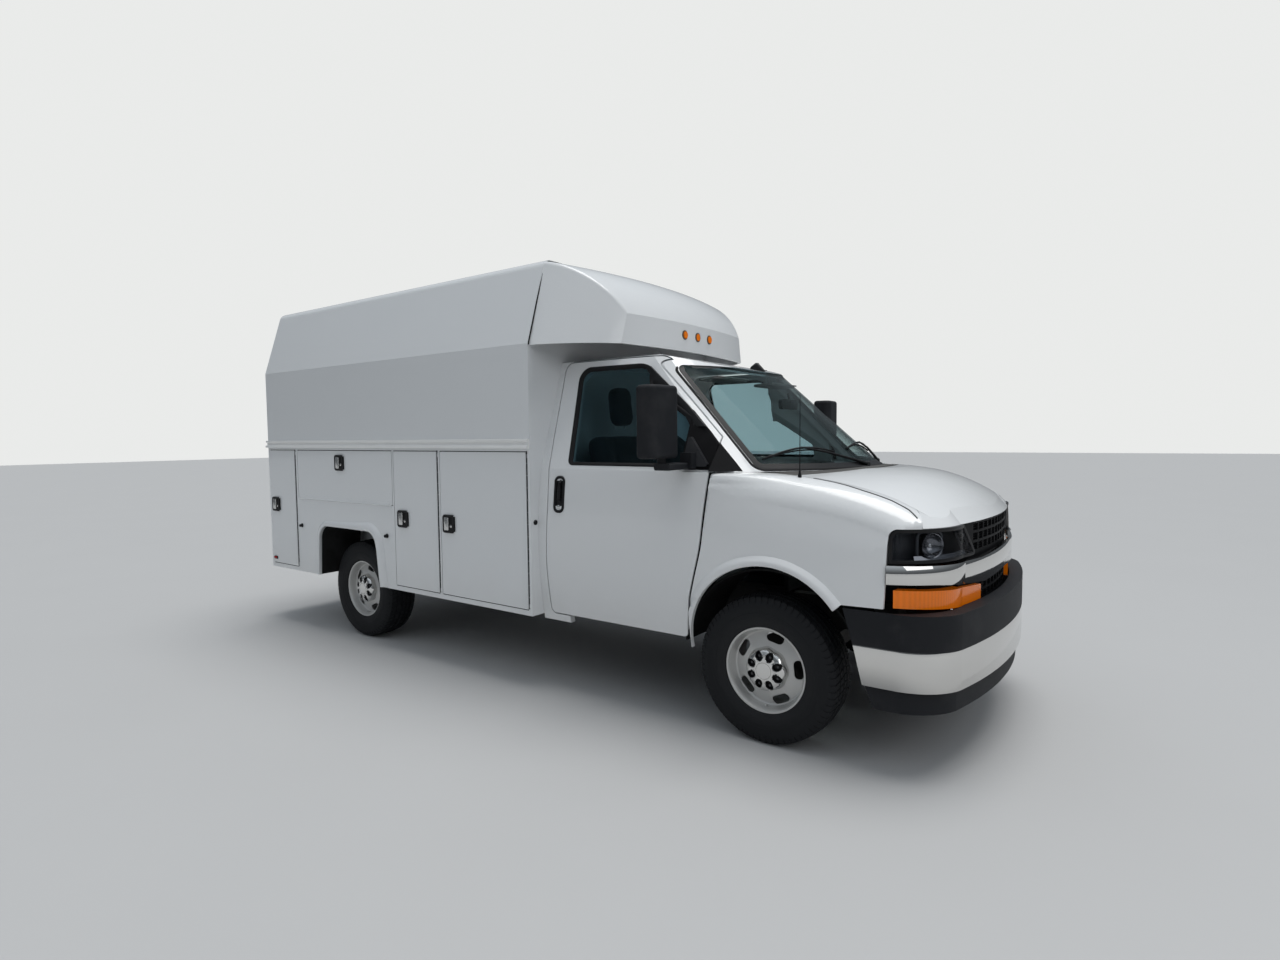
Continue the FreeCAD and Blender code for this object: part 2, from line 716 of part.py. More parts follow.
WHEEL_GAP = SEAT_GAP
UPRIGHT_LOW = 112.0
UPRIGHT_HIGH = 104.0
BALL_RISE = 150.0
BALL_SEAT = 24.0
BALL_DEPTH = 42.0
HUB_FACE = WHEEL_Y + TYRE_WIDTH / 2 - 20 - 70


def knuckles():
    x = FRONT_AXLE_X
    z = TYRE_RADIUS
    upright = box(x - 45, x + 45, KINGPIN_Y - 26, KINGPIN_Y + 22, z - UPRIGHT_LOW, z + UPRIGHT_HIGH)
    kingpin = rod(
        vec(x, KINGPIN_Y, z - BALL_RISE + BALL_SEAT + SEAT_GAP),
        vec(x, KINGPIN_Y, z + BALL_RISE - BALL_SEAT - SEAT_GAP),
        12,
    )
    spindle = rod(vec(x, KINGPIN_Y, z), vec(x, HUB_FACE - WHEEL_GAP, z), HUB_RADIUS - 12)
    disc = rod(vec(x, KINGPIN_Y + 50, z), vec(x, KINGPIN_Y + 74, z), 150)
    steering_arm = box(x - 170, x - 40, KINGPIN_Y - 26, KINGPIN_Y - 2, z - 90, z - 60)
    knuckle = fuse([upright, kingpin, spindle, disc, steering_arm])
    return {"knuckle_" + name: on_side(knuckle, side) for name, side in SIDES.items()}


def front_suspension():
    x = FRONT_AXLE_X
    z = TYRE_RADIUS
    member = box(x - 90, x + 90, -RAIL_Y - 31, RAIL_Y + 31, z - 70, z + 20)
    pieces = [member]
    for side in SIDES.values():
        for height, rise, low in (
            (z - BALL_RISE, 80, BALL_SEAT - BALL_DEPTH),
            (z + BALL_RISE, -40, -BALL_SEAT),
        ):
            ball = vec(x, side * KINGPIN_Y, height)
            for spread in (-110, 110):
                pieces.append(rod(vec(x + spread, side * (RAIL_Y + 10), height + rise), ball, 17))
            pieces.append(Part.makeCylinder(28, BALL_DEPTH, vec(x, ball.y, height + low)))
        tower = box(x - 130, x + 130, side * (RAIL_Y - 31), side * (RAIL_Y + 31), z - 90, FRAME_LOW_Z)
        pieces.append(tower)
    return fuse(pieces)


CORE_REAR = 600.0
CORE_FRONT = 636.0
CORE_HALF = 720.0
TIE_LOW_Z = 1140.0
TIE_HIGH_Z = 1180.0


# The radiator support stands on the rails and carries hood, fenders, lamps and grille.
def core_support():
    x0 = ahead(CORE_REAR)
    x1 = ahead(CORE_FRONT)
    tabs = [
        (1200, 0, CORE_FRONT, TIE_LOW_Z, TIE_HIGH_Z, FENDER_SKIN),
        (700, 650, 900, TIE_LOW_Z - 30, TIE_LOW_Z, LAMP_DEPTH),
        (340, 300, 940, TIE_LOW_Z - 45, TIE_LOW_Z, GRILLE_BACK),
        (700, 650, 900, 800, 840, TURN_DEPTH),
    ]
    pieces = [box(x0, x1, -CORE_HALF, CORE_HALF, FRAME_HIGH_Z - 10, FRAME_HIGH_Z + 40)]
    for side in SIDES.values():
        pieces.append(box(x0, x1, side * (CORE_HALF - 70), side * CORE_HALF, FRAME_HIGH_Z, TIE_HIGH_Z))
        for outer, inner, front, low, high, depth in tabs:
            tab = box(x0, ahead(front), side * inner, side * outer, low, high)
            pieces.append(tab.common(nose_mass(depth + SEAT_GAP)))
        stop = box(x0, x1, side * 480, side * 520, TIE_HIGH_Z - 10, 1400)
        pieces.append(stop.common(nose_mass(HOOD_THICKNESS + SEAT_GAP)))
        horn = box(ahead(RAIL_FRONT - 10), ahead(FRONT_OVERHANG), side * (RAIL_Y - 30), side * (RAIL_Y + 30), 540, 600)
        pieces.append(horn.common(bumper_mass(BUMPER_SHEET + SEAT_GAP, 0)))
    return pieces


RAIL_FRONT = 880.0
CAB_MOUNTS = (-600.0, -1400.0)
CROSSMEMBERS = (850, 560, -700, -1600, -2300, -3000, -4000, -4640)
CROSSMEMBER_DROP = 85.0
EXHAUST_HANGERS = (-2300, -4000)
ENGINE_MOUNT_X = 300.0
ENGINE_HALF = 250.0


def chassis_frame():
    pieces = core_support()
    for side in SIDES.values():
        for x in CAB_MOUNTS:
            pieces.append(rod(vec(ahead(x), side * RAIL_Y, FRAME_HIGH_Z - 5), vec(ahead(x), side * RAIL_Y, CAB_FLOOR_Z), 28))
        x = ahead(ENGINE_MOUNT_X)
        pieces.append(box(x - 50, x + 50, side * ENGINE_HALF, side * RAIL_Y, FRAME_HIGH_Z - 70, FRAME_HIGH_Z - 10))
    for side in SIDES.values():
        y0 = side * (RAIL_Y - RAIL_WIDTH / 2)
        y1 = side * (RAIL_Y + RAIL_WIDTH / 2)
        pieces.append(box(BODY_REAR_X, ahead(RAIL_FRONT), y0, y1, FRAME_LOW_Z, FRAME_HIGH_Z))
    for x in CROSSMEMBERS:
        pieces.append(box(ahead(x) - 40, ahead(x) + 40, -RAIL_Y, RAIL_Y, FRAME_HIGH_Z - CROSSMEMBER_DROP, FRAME_HIGH_Z - 25))
    return fuse(pieces)


def rear_axle():
    x = REAR_AXLE_X
    z = TYRE_RADIUS
    end = HUB_FACE - WHEEL_GAP
    tube = rod(vec(x, -end, z), vec(x, end, z), 48)
    pumpkin = Part.makeSphere(150, vec(x, 0, z))
    drum = [rod(vec(x, s * (WHEEL_Y - 110), z), vec(x, s * (WHEEL_Y - 10), z), 145) for s in (1, -1)]
    shaft = rod(vec(x + 120, 0, z + 10), vec(ahead(-700), 0, 525), 45)
    pieces = [tube, pumpkin, shaft] + drum
    for side in (1, -1):
        y = side * 560
        leaf = side_prism(
            [(-WHEELBASE - 700, 560, 0), (-WHEELBASE, 395, 900), (-WHEELBASE + 700, 560, 0),
             (-WHEELBASE + 700, 590, 0), (-WHEELBASE, 430, 900), (-WHEELBASE - 700, 590, 0)],
            y - 32, y + 32,
        )
        pieces.append(leaf)
        for offset in (-680, 680):
            pieces.append(box(x + offset - 22, x + offset + 22, side * (RAIL_Y + 31), y + side * 32, 556, 600))
    return fuse(pieces)


def underbody():
    shapes = {}
    engine = box(ahead(-420), ahead(520), -ENGINE_HALF, ENGINE_HALF, 560, 1130)
    shapes["engine_block"] = engine
    shapes["fuel_tank"] = box(ahead(-2900), ahead(-1750), RAIL_Y - RAIL_WIDTH / 2 - 300, RAIL_Y - RAIL_WIDTH / 2, 350, 590)
    y = -262
    points = [
        vec(ahead(-300), y, 480), vec(ahead(-2700), y, 470), vec(ahead(-3100), -230, 560),
        vec(ahead(-3850), -230, 560), vec(ahead(-4150), -230, 455), vec(ahead(-4480), -560, 452),
        vec(BODY_REAR_X - 60, -560, 450),
    ]
    pieces = []
    for start, end in zip(points, points[1:]):
        pieces.append(rod(start, end, 32))
    for joint in points[1:-1]:
        pieces.append(Part.makeSphere(32, joint))
    pieces.append(rod(vec(ahead(-1900), y, 488), vec(ahead(-2550), y, 482), 95))
    for x, hanger_y in zip(EXHAUST_HANGERS, (y, -230)):
        top = FRAME_HIGH_Z - CROSSMEMBER_DROP - SEAT_GAP
        pieces.append(box(ahead(x) - 12, ahead(x) + 12, hanger_y - 12, hanger_y + 12, 500, top))
    shapes["exhaust"] = fuse(pieces)
    return shapes


HINGE_LEAVES = (820.0, 1200.0)
HOUSING_RADIUS = 503.0
HOUSING_Z = 400.0


def cab_floor():
    pieces = [box(BODY_FRONT_X, ahead(-412), -900, 900, CAB_FLOOR_Z, CAB_FLOOR_Z + 25)]
    pieces.append(box(ahead(-430), ahead(-65), -505, 505, CAB_FLOOR_Z, CAB_FLOOR_Z + 25))
    fire_wall = box(ahead(-90), ahead(-65), -880, 880, CAB_FLOOR_Z, 1330)
    for side in SIDES.values():
        house = Part.makeCylinder(
            HOUSING_RADIUS + SEAT_GAP, 500, vec(FRONT_AXLE_X, 510, HOUSING_Z), vec(0, 1, 0)
        )
        fire_wall = fire_wall.cut(on_side(house, side))
    pieces.append(fire_wall)
    pieces.append(box(ahead(-430), ahead(-65), -290, 290, CAB_FLOOR_Z, 1160))
    for side in SIDES.values():
        pieces.append(box(BODY_FRONT_X, ahead(-500), side * 780, side * 900, 470, CAB_FLOOR_Z + 25))
        pieces.append(box(ahead(-500), ahead(-430), side * 700, side * 905, CAB_FLOOR_Z, 1380))
        pieces.append(box(BODY_FRONT_X, ahead(-1430), side * 600, side * 925, CAB_FLOOR_Z, 1400))
        for low in HINGE_LEAVES:
            leaf = box(ahead(-480), ahead(-450), side * 890, side * 1000, low, low + 60)
            pieces.append(leaf.common(cab_mass(DOOR_DEPTH + SEAT_GAP)))
        post = box(ahead(20), ahead(60), side * 680, side * 720, 1250, 1500).common(nose_mass(COWL_BACK + SEAT_GAP))
        pieces.append(fuse([post, box(ahead(-80), ahead(60), side * 680, side * 720, 1250, 1290)]))
    floor = fuse(pieces)
    tunnel = box(ahead(-440), ahead(-60), -265, 265, 500, 1140)
    return floor.cut(tunnel)


def wheel_housings():
    centre = vec(FRONT_AXLE_X, 520, HOUSING_Z)
    outer = Part.makeCylinder(HOUSING_RADIUS, 385, centre, vec(0, 1, 0))
    inner = Part.makeCylinder(HOUSING_RADIUS - 10, 385, centre, vec(0, 1, 0))
    keep = box(ahead(-600), ahead(600), 500, 1000, 455, 1000)
    return both(outer.cut(inner).common(keep))


def interior():
    shapes = {}
    dash = side_prism(
        [(-90, 1000, 0), (-90, 1340, 30), (-300, 1345, 40), (-400, 1270, 40), (-400, 1020, 40), (-300, 940, 30)],
        -860,
        860,
    )
    dash = dash.cut(box(ahead(-500), ahead(-50), -290, 290, 700, 1160))
    shapes["dashboard"] = dash
    hub = vec(ahead(-560), 420, 1200)
    lean = vec(-0.82, 0, 0.57)
    ring = Part.makeTorus(182, 15, hub, lean)
    boss = Part.makeCylinder(45, 50, hub.sub(vec(-0.82 * 25, 0, 0.57 * 25)), lean)
    column = rod(hub, vec(ahead(-400), 420, 1090), 26)
    spokes = [box(hub.x - 12, hub.x + 12, 420 - 182, 420 + 182, 1188, 1212)]
    spokes[0].rotate(hub, vec(0, 1, 0), -30)
    shapes["steering_wheel"] = fuse([ring, boss, column] + spokes).cut(dash)
    seats = []
    for y in (420, -420):
        base = box(ahead(-1130), ahead(-760), y - 210, y + 210, CAB_FLOOR_Z + 25, 950)
        cushion = side_prism([(-1180, 950, 20), (-690, 950, 50), (-690, 1080, 50), (-1180, 1060, 20)],
                             y - 255, y + 255)
        back = side_prism([(-1120, 1060, 30), (-1225, 1700, 60), (-1345, 1700, 60), (-1262, 1000, 50),
                           (-1160, 1000, 30)], y - 245, y + 245)
        head = side_prism([(-1232, 1690, 10), (-1250, 1880, 40), (-1342, 1880, 40), (-1332, 1690, 10)],
                          y - 140, y + 140)
        seats.append(fuse([base, cushion, back, head]))
    shapes["seats"] = Part.makeCompound(seats)
    return shapes


def body_section(depth, low_z):
    crease = BODY_CREASE_Z
    half = BODY_HALF - depth
    top = BODY_HALF_TOP - depth
    high = BODY_TOP_Z - depth
    radius = max(70 - depth, 20)
    return [
        (-half, low_z, 0), (half, low_z, 0), (half, crease, 0), (top, high, radius), (-top, high, radius),
        (-half, crease, 0),
    ]


def body_shell():
    shapes = {}
    outer = front_prism(body_section(0, SIDE_BOX_TOP_Z), BODY_REAR_X + WALL, BODY_FRONT_X - WALL)
    inner = front_prism(body_section(WALL, SIDE_BOX_TOP_Z - 50), BODY_REAR_X - 10, BODY_FRONT_X + 10)
    shapes["body_upper"] = outer.cut(inner)
    frame_tunnel = box(BODY_REAR_X - 50, BODY_FRONT_X + 50, -AISLE_HALF, AISLE_HALF, 0, BODY_FLOOR_Z - 70)
    front_wall = front_prism(body_section(0, BODY_BOTTOM_Z), BODY_FRONT_X - WALL, BODY_FRONT_X)
    front_hinge = side_hinges()["front"][1]
    shapes["body_front_wall"] = fuse([front_wall.cut(frame_tunnel), front_hinge, mirrored(front_hinge)])
    wall = front_prism(body_section(0, BODY_BOTTOM_Z), BODY_REAR_X, BODY_REAR_X + WALL).cut(frame_tunnel)
    for inset, x in ((0, BODY_REAR_X + PANEL_DOOR + SEAT_GAP), (PANEL_FLANGE, BODY_REAR_X + 80)):
        half = REAR_DOOR_HALF - inset
        low = BODY_FLOOR_Z + inset
        high = REAR_DOOR_TOP_Z - inset
        wall = wall.cut(
            front_prism([(-half, low, 30), (half, low, 30), (half, high, 30), (-half, high, 30)], BODY_REAR_X - 50, x)
        )
    fixed = rear_hinge()[1]
    shapes["rear_wall"] = fuse([wall, fixed, mirrored(fixed)])
    floor = box(BODY_REAR_X + WALL, BODY_FRONT_X - WALL, -AISLE_HALF, AISLE_HALF, BODY_FLOOR_Z - 30, BODY_FLOOR_Z)
    sills = []
    for side in SIDES.values():
        y0 = side * (RAIL_Y - 30)
        y1 = side * (RAIL_Y + 30)
        sills.append(box(BODY_REAR_X + WALL, BODY_FRONT_X - WALL, y0, y1, FRAME_HIGH_Z, BODY_FLOOR_Z - 30))
    shapes["body_floor"] = fuse([floor] + sills)
    return shapes


# Compartments on one side, as distances ahead of the front axle: rear edge, front edge, low and high.
PANEL_LOW_Z = 508.0
PANEL_HIGH_Z = 1502.0
DROP_LOW_Z = 1095.0
FRONT_PANEL = (-2382.0, -1548.0)
SECOND_PANEL = (-2908.0, -2408.0)
DROP_PANEL = (-4238.0, -2922.0)
REAR_PANEL = (-4688.0, -4274.0)
UPRIGHT_PANELS = {"front": FRONT_PANEL, "second": SECOND_PANEL, "rear": REAR_PANEL}
PARTITION = 14.0
HOUSE_HALF = 475.0
LATCH_W = 112.0
LATCH_H = 118.0
HINGE_OUT = 5.0
HINGE_PIN = 2.0
HINGE_SHEET = 2.0
HINGE_LEAF = 28.0
HINGE_END = 12.0
HINGE_KNUCKLE = 24.0


def side_boxes():
    y_out = BODY_HALF
    y_face = BODY_HALF - WALL
    block = box(BODY_REAR_X + WALL, BODY_FRONT_X - WALL, AISLE_HALF, y_out, BODY_BOTTOM_Z, SIDE_BOX_TOP_Z)
    low = BODY_BOTTOM_Z + SHEET
    high = SIDE_BOX_TOP_Z - SHEET
    y_in = AISLE_HALF + SHEET
    walls = [-2395.0, -2915.0, -4256.0]
    cavities = [
        box(ahead(walls[0] + PARTITION / 2), BODY_FRONT_X - WALL - SHEET, y_in, y_face, low, high),
        box(ahead(walls[1] + PARTITION / 2), ahead(walls[0] - PARTITION / 2), y_in, y_face, low, high),
        box(ahead(walls[2] + PARTITION / 2), ahead(walls[1] - PARTITION / 2), y_in, y_face, 950, high),
        box(BODY_REAR_X + WALL + SHEET, ahead(walls[2] - PARTITION / 2), y_in, y_face, low, high),
        box(REAR_AXLE_X - HOUSE_HALF, REAR_AXLE_X + HOUSE_HALF, y_in, y_face + 10, 100, 925),
    ]
    openings = []
    flange = PANEL_FLANGE
    seat = y_out - PANEL_DOOR - SEAT_GAP
    for (rear, front), bottom in (
        (FRONT_PANEL, PANEL_LOW_Z), (SECOND_PANEL, PANEL_LOW_Z), (REAR_PANEL, PANEL_LOW_Z), (DROP_PANEL, DROP_LOW_Z),
    ):
        openings.append(box(ahead(rear), ahead(front), seat, y_out + 5, bottom, PANEL_HIGH_Z))
        openings.append(
            box(ahead(rear) + flange, ahead(front) - flange, y_face - 5, y_out, bottom + flange, PANEL_HIGH_Z - flange)
        )
    middle = -WHEELBASE + 14
    arch = side_prism(
        [(middle - BODY_ARCH_HALF, 400, 0), (middle - BODY_ARCH_HALF + 20, BODY_ARCH_TOP_Z, 120),
         (middle + BODY_ARCH_HALF - 40, BODY_ARCH_TOP_Z, 120), (middle + BODY_ARCH_HALF, 400, 0)],
        y_face - 5, y_out + 5,
    )
    for hole in cavities + openings + [arch]:
        block = block.cut(hole)
    bumpers = []
    for x in (-4195, -3005):
        bumpers.append(rod(vec(ahead(x), y_out - 1, 868), vec(ahead(x), y_out + 22, 868), 11))
    hinges = side_hinges()
    block = fuse([block] + bumpers + [hinges[place][1] for place in ("second", "rear", "drop")])
    return {"side_box_" + name: on_side(block, side) for name, side in SIDES.items()}


# A long hinge on the face of a door: pin and end knuckles stay with the body, the barrel turns with the door.
# It is made along Z on its axis, with the door on the -X side and the face of door and body at Y = -HINGE_OUT.
def hinge(low, high):
    face = -HINGE_OUT
    barrel_low = low + HINGE_END + HINGE_KNUCKLE + 1
    barrel_high = high - HINGE_END - HINGE_KNUCKLE - 1
    barrel = rod(vec(0, 0, barrel_low), vec(0, 0, barrel_high), HINGE_OUT)
    leaf = box(-HINGE_LEAF, 0, face, face + HINGE_SHEET, barrel_low, barrel_high)
    bore = rod(vec(0, 0, low), vec(0, 0, high), HINGE_PIN + SEAT_GAP)
    moving = fuse([barrel, leaf]).cut(bore)
    fixed = [rod(vec(0, 0, low + HINGE_END), vec(0, 0, high - HINGE_END), HINGE_PIN)]
    for start in (low + HINGE_END, high - HINGE_END - HINGE_KNUCKLE):
        end = start + HINGE_KNUCKLE
        fixed.append(rod(vec(0, 0, start), vec(0, 0, end), HINGE_OUT))
        fixed.append(box(0, HINGE_LEAF, face, face + HINGE_SHEET, start, end))
    return moving, fuse(fixed)


# Hinges on the left side of the body, by the name of their door: the part on the door and the part on the body.
def side_hinges():
    y = BODY_HALF + HINGE_OUT
    hinges = {}
    for place, (rear, front) in UPRIGHT_PANELS.items():
        pair = hinge(PANEL_LOW_Z + PANEL_GAP, PANEL_HIGH_Z - PANEL_GAP)
        for piece in pair:
            piece.translate(vec(ahead(front - PANEL_GAP / 2), y, 0))
        hinges[place] = pair
    pair = hinge(ahead(DROP_PANEL[0] + PANEL_GAP), ahead(DROP_PANEL[1] - PANEL_GAP))
    for piece in pair:
        piece.rotate(vec(0, 0, 0), vec(0, 1, 0), 90)
        piece.translate(vec(0, y, DROP_LOW_Z + PANEL_GAP / 2))
    hinges["drop"] = pair
    return hinges


def rear_hinge():
    pair = hinge(BODY_FLOOR_Z + PANEL_GAP, REAR_DOOR_TOP_Z - PANEL_GAP)
    for piece in pair:
        piece.rotate(vec(0, 0, 0), vec(0, 0, 1), 90)
        piece.translate(vec(BODY_REAR_X - HINGE_OUT, REAR_DOOR_HALF - PANEL_GAP / 2, 0))
    return pair


def panel_door(rear, front, low, high, latch_x, latch_z, latch_w, latch_h):
    gap = PANEL_GAP
    door = box(ahead(rear + gap), ahead(front - gap), BODY_HALF - PANEL_DOOR, BODY_HALF, low + gap, high - gap)
    latch = box(
        ahead(latch_x - latch_w / 2), ahead(latch_x + latch_w / 2), BODY_HALF - 20, BODY_HALF + 8,
        latch_z - latch_h / 2, latch_z + latch_h / 2,
    )
    return fuse([door, latch])


def panel_doors():
    doors = {
        "front": panel_door(*FRONT_PANEL, PANEL_LOW_Z, PANEL_HIGH_Z, -2290, 1005, LATCH_W, LATCH_H),
        "second": panel_door(*SECOND_PANEL, PANEL_LOW_Z, PANEL_HIGH_Z, -2800, 1008, LATCH_W, LATCH_H),
        "rear": panel_door(*REAR_PANEL, PANEL_LOW_Z, PANEL_HIGH_Z, -4600, 1030, LATCH_W, LATCH_H),
        "drop": panel_door(*DROP_PANEL, DROP_LOW_Z, PANEL_HIGH_Z, -3600, 1402, LATCH_W, LATCH_H),
    }
    hinges = side_hinges()
    shapes = {}
    for place, door in doors.items():
        door = fuse([door, hinges[place][0]])
        for name, side in SIDES.items():
            shapes["panel_" + place + "_" + name] = on_side(door, side)
    return shapes


def rear_doors():
    gap = PANEL_GAP
    shapes = {}
    edge = REAR_DOOR_HALF - gap
    low = BODY_FLOOR_Z + gap
    high = REAR_DOOR_TOP_Z - gap
    leaf = front_prism([(gap / 2, low, 0), (edge, low, 26), (edge, high, 26), (gap / 2, high, 0)],
                       BODY_REAR_X, BODY_REAR_X + PANEL_DOOR)
    door = fuse([leaf, rear_hinge()[0]])
    for name, side in SIDES.items():
        shapes["rear_door_" + name] = on_side(door, side)
    return shapes


def drip_rails():
    y = BODY_HALF
    rail = front_prism(
        [
            (y, RAIL_LOW_Z, 0), (y + RAIL_PROUD, RAIL_LOW_Z, 4), (y + RAIL_PROUD, RAIL_LOW_Z + 16, 4),
            (y + 8, RAIL_LOW_Z + 22, 4), (y + 8, RAIL_HIGH_Z - 18, 4), (y + RAIL_PROUD - 4, RAIL_HIGH_Z - 14, 4),
            (y + RAIL_PROUD - 4, RAIL_HIGH_Z, 4), (y, RAIL_HIGH_Z, 0),
        ],
        BODY_REAR_X, BODY_FRONT_X,
    )
    return both(rail)


CAP_FRONT = -965.0
CAP_BOW = 4000.0
CAP_LOW_Z = 2150.0
CAP_BAND = (-953.0, 2305.0)
CAP_BROW = (-1182.0, 2592.0)
CAP_SKIN = 18.0
CAP_REAR_HALF = BODY_HALF - 10
CAP_NOSE_HALF = 765.0
CAP_LEAN = 155.0
CAP_SWELL = 50.0
CAP_CREST = 30.0
CAP_SWEEP = 40.0


# The cap's outline from above: bowed sides run forward to soft corners and a bowed front.
def cap_plan(z, lean, depth):
    rear = vec(BODY_FRONT_X, CAP_REAR_HALF - lean - depth, z)
    nose_y = CAP_NOSE_HALF - lean - 0.8 * depth
    nose = vec(ahead(CAP_FRONT - depth) - nose_y**2 / (2 * CAP_BOW), nose_y, z)
    chord = rear.sub(nose)
    swell = vec(-chord.y, chord.x, 0).normalize().multiply(-CAP_SWELL)
    middle = rear.add(nose).multiply(0.5).add(swell)
    tip = vec(ahead(CAP_FRONT - depth), 0, z)
    far_rear, far_nose, far_middle = [vec(p.x, -p.y, z) for p in (rear, nose, middle)]
    return Part.Wire([
        Part.Arc(rear, middle, nose).toShape(),
        Part.Arc(nose, tip, far_nose).toShape(),
        Part.Arc(far_nose, far_middle, far_rear).toShape(),
        Part.makeLine(far_rear, rear),
    ])


# From the side one arc runs from the roof to the lamp band, and it bows round the front.
def cap_mass(depth):
    walls = Part.makeLoft([cap_plan(CAP_LOW_Z, 0, depth), cap_plan(BODY_TOP_Z, CAP_LEAN, depth)], True, True)
    foot = Part.Face(cap_plan(CAP_LOW_Z, 0, depth)).extrude(vec(0, 0, -200))
    crest = vec(BODY_FRONT_X, 0, BODY_TOP_Z - 4 - depth)
    brow = vec(ahead(CAP_BROW[0]) - 0.6 * depth, 0, CAP_BROW[1] - 0.8 * depth)
    band = vec(ahead(CAP_BAND[0]) - depth, 0, CAP_BAND[1] - 0.3 * depth)
    reach = ahead(CAP_FRONT) + 60
    profile = Part.Wire([
        Part.Arc(crest, brow, band).toShape(),
        Part.makeLine(band, vec(reach, 0, band.z - 8)),
        Part.makeLine(vec(reach, 0, band.z - 8), vec(reach, 0, 1800)),
        Part.makeLine(vec(reach, 0, 1800), vec(BODY_FRONT_X, 0, 1800)),
        Part.makeLine(vec(BODY_FRONT_X, 0, 1800), crest),
    ])
    axis = vec(ahead(CAP_FRONT) - CAP_BOW, 0, 0)
    profile.rotate(axis, vec(0, 0, 1), -CAP_SWEEP / 2)
    slope = Part.Face(profile).revolve(axis, vec(0, 0, 1), CAP_SWEEP)
    body = fuse([walls, foot]).common(slope)
    creases = [e for e in body.Edges if e.BoundBox.XLength > 250 and e.BoundBox.ZLength > 150
               and min(abs(e.BoundBox.YMin), abs(e.BoundBox.YMax)) > 500]
    return body.makeFillet(CAP_CREST - depth, creases) if depth < CAP_CREST else body


def front_cap():
    low = box(ahead(-1700), ahead(-700), -1300, 1300, CAP_LOW_Z, 2900)
    shell = cap_mass(0).cut(cap_mass(CAP_SKIN)).common(low)
    return max(shell.Solids, key=lambda s: s.Volume)


def small_pieces(turn_lamps):
    shapes = {}
    lamps = []
    for y in (-158, 0, 158):
        lamps.append(rod(vec(ahead(CAP_FRONT - 24), y, 2258), vec(ahead(CAP_FRONT + 7), y, 2258), 23))
    shapes["front_cap"] = front_cap().cut(Part.makeCompound(lamps))
    shapes["amber_lamps"] = Part.makeCompound(lamps + turn_lamps)
    tails = box(BODY_REAR_X - 14, BODY_REAR_X, 820, 960, 880, 1240)
    shapes["tail_lamps"] = both(tails)
    deck = box(BODY_REAR_X - STEP_BUMPER_DEPTH, BODY_REAR_X, -960, 960, 500, 560)
    hitch = []
    for side in SIDES.values():
        hitch.append(box(BODY_REAR_X - 60, BODY_REAR_X, side * 370, side * 430, 520, FRAME_HIGH_Z))
    ball_hole = Part.makeCylinder(13, 100, vec(BODY_REAR_X - STEP_BUMPER_DEPTH / 2 - 20, 0, 480))
    shapes["step_bumper"] = fuse([deck] + hitch).cut(ball_hole)
    mast = rod(vec(ahead(140), -838, 1370), vec(ahead(140), -838, 1790), 3)
    foot = Part.makeCone(16, 6, 44, vec(ahead(140), -838, 1350))
    whip = fuse([mast, foot]).cut(nose_mass(0))
    fin = side_prism([(-640, 2000, 0), (-625, 2140, 10), (-575, 2140, 10), (-525, 2000, 0)], 120, 150)
    fin = fin.cut(greenhouse(0))
    shapes["antennas"] = Part.makeCompound(whip.Solids[-1:] + fin.Solids[:1])
    return shapes


def wipers():
    reach = greenhouse(-26).cut(greenhouse(WINDSHIELD_DEPTH - SEAT_GAP))
    blades = []
    for y0, z0, y1, z1 in ((-690, 1424, -70, 1468), (20, 1424, 640, 1468)):
        strip = front_prism([(y0, z0, 0), (y1, z1, 0), (y1, z1 + 16, 0), (y0, z0 + 16, 0)], ahead(-700), ahead(400))
        arm = front_prism(
            [(y1 - 60, 1408, 0), (y1 - 30, 1408, 0), ((y0 + y1) / 2 + 14, (z0 + z1) / 2 + 16, 0),
             ((y0 + y1) / 2 - 24, (z0 + z1) / 2 + 12, 0)],
            ahead(-700), ahead(400),
        )
        blades.append(reach.common(fuse([strip, arm])))
    return Part.makeCompound([b.Solids[0] for b in blades])


def build():
    shapes = {}
    shapes["chassis_frame"] = chassis_frame()
    shapes["front_suspension"] = front_suspension()
    shapes["rear_axle"] = rear_axle()
    shapes.update(underbody())
    shapes["cab_floor"] = cab_floor()
    shapes["cab_shell"] = cab_shell()
    shapes["fenders"] = fenders()
    shapes["wheel_housings"] = wheel_housings()
    shapes["cowl"] = cowl()
    shapes["hood"] = hood()
    shapes["windshield"] = windshield()
    shapes["wipers"] = wipers()
    shapes.update(front_fittings())
    shapes.update(front_bumper())
    shapes.update(interior())
    shapes.update(wheels())
    shapes.update(knuckles())
    shapes.update(cab_doors())
    shapes.update(mirrors())
    shapes.update(body_shell())
    shapes.update(side_boxes())
    shapes.update(panel_doors())
    shapes.update(rear_doors())
    shapes["drip_rails"] = drip_rails()
    shapes.update(small_pieces(shapes.pop("turn_lamps").Solids))
    return shapes


def main():
    os.makedirs("parts", exist_ok=True)
    shapes = build()
    for name, shape in shapes.items():
        shape.exportStep("parts/" + name + ".step")
        print(name, len(shape.Solids), shape.isValid(), round(shape.Volume / 1e6, 2))


main()
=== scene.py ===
# %% [markdown]
# # A white utility van with an enclosed service body
# The van is a cutaway cab on a ladder frame with a box body behind it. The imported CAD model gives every
# panel its place. This lesson dresses it: paint, chrome, glass, rubber and the small fittings.

import math

import bmesh
import bpy
import numpy as np
from mathutils import Matrix, Vector
from mathutils.bvhtree import BVHTree


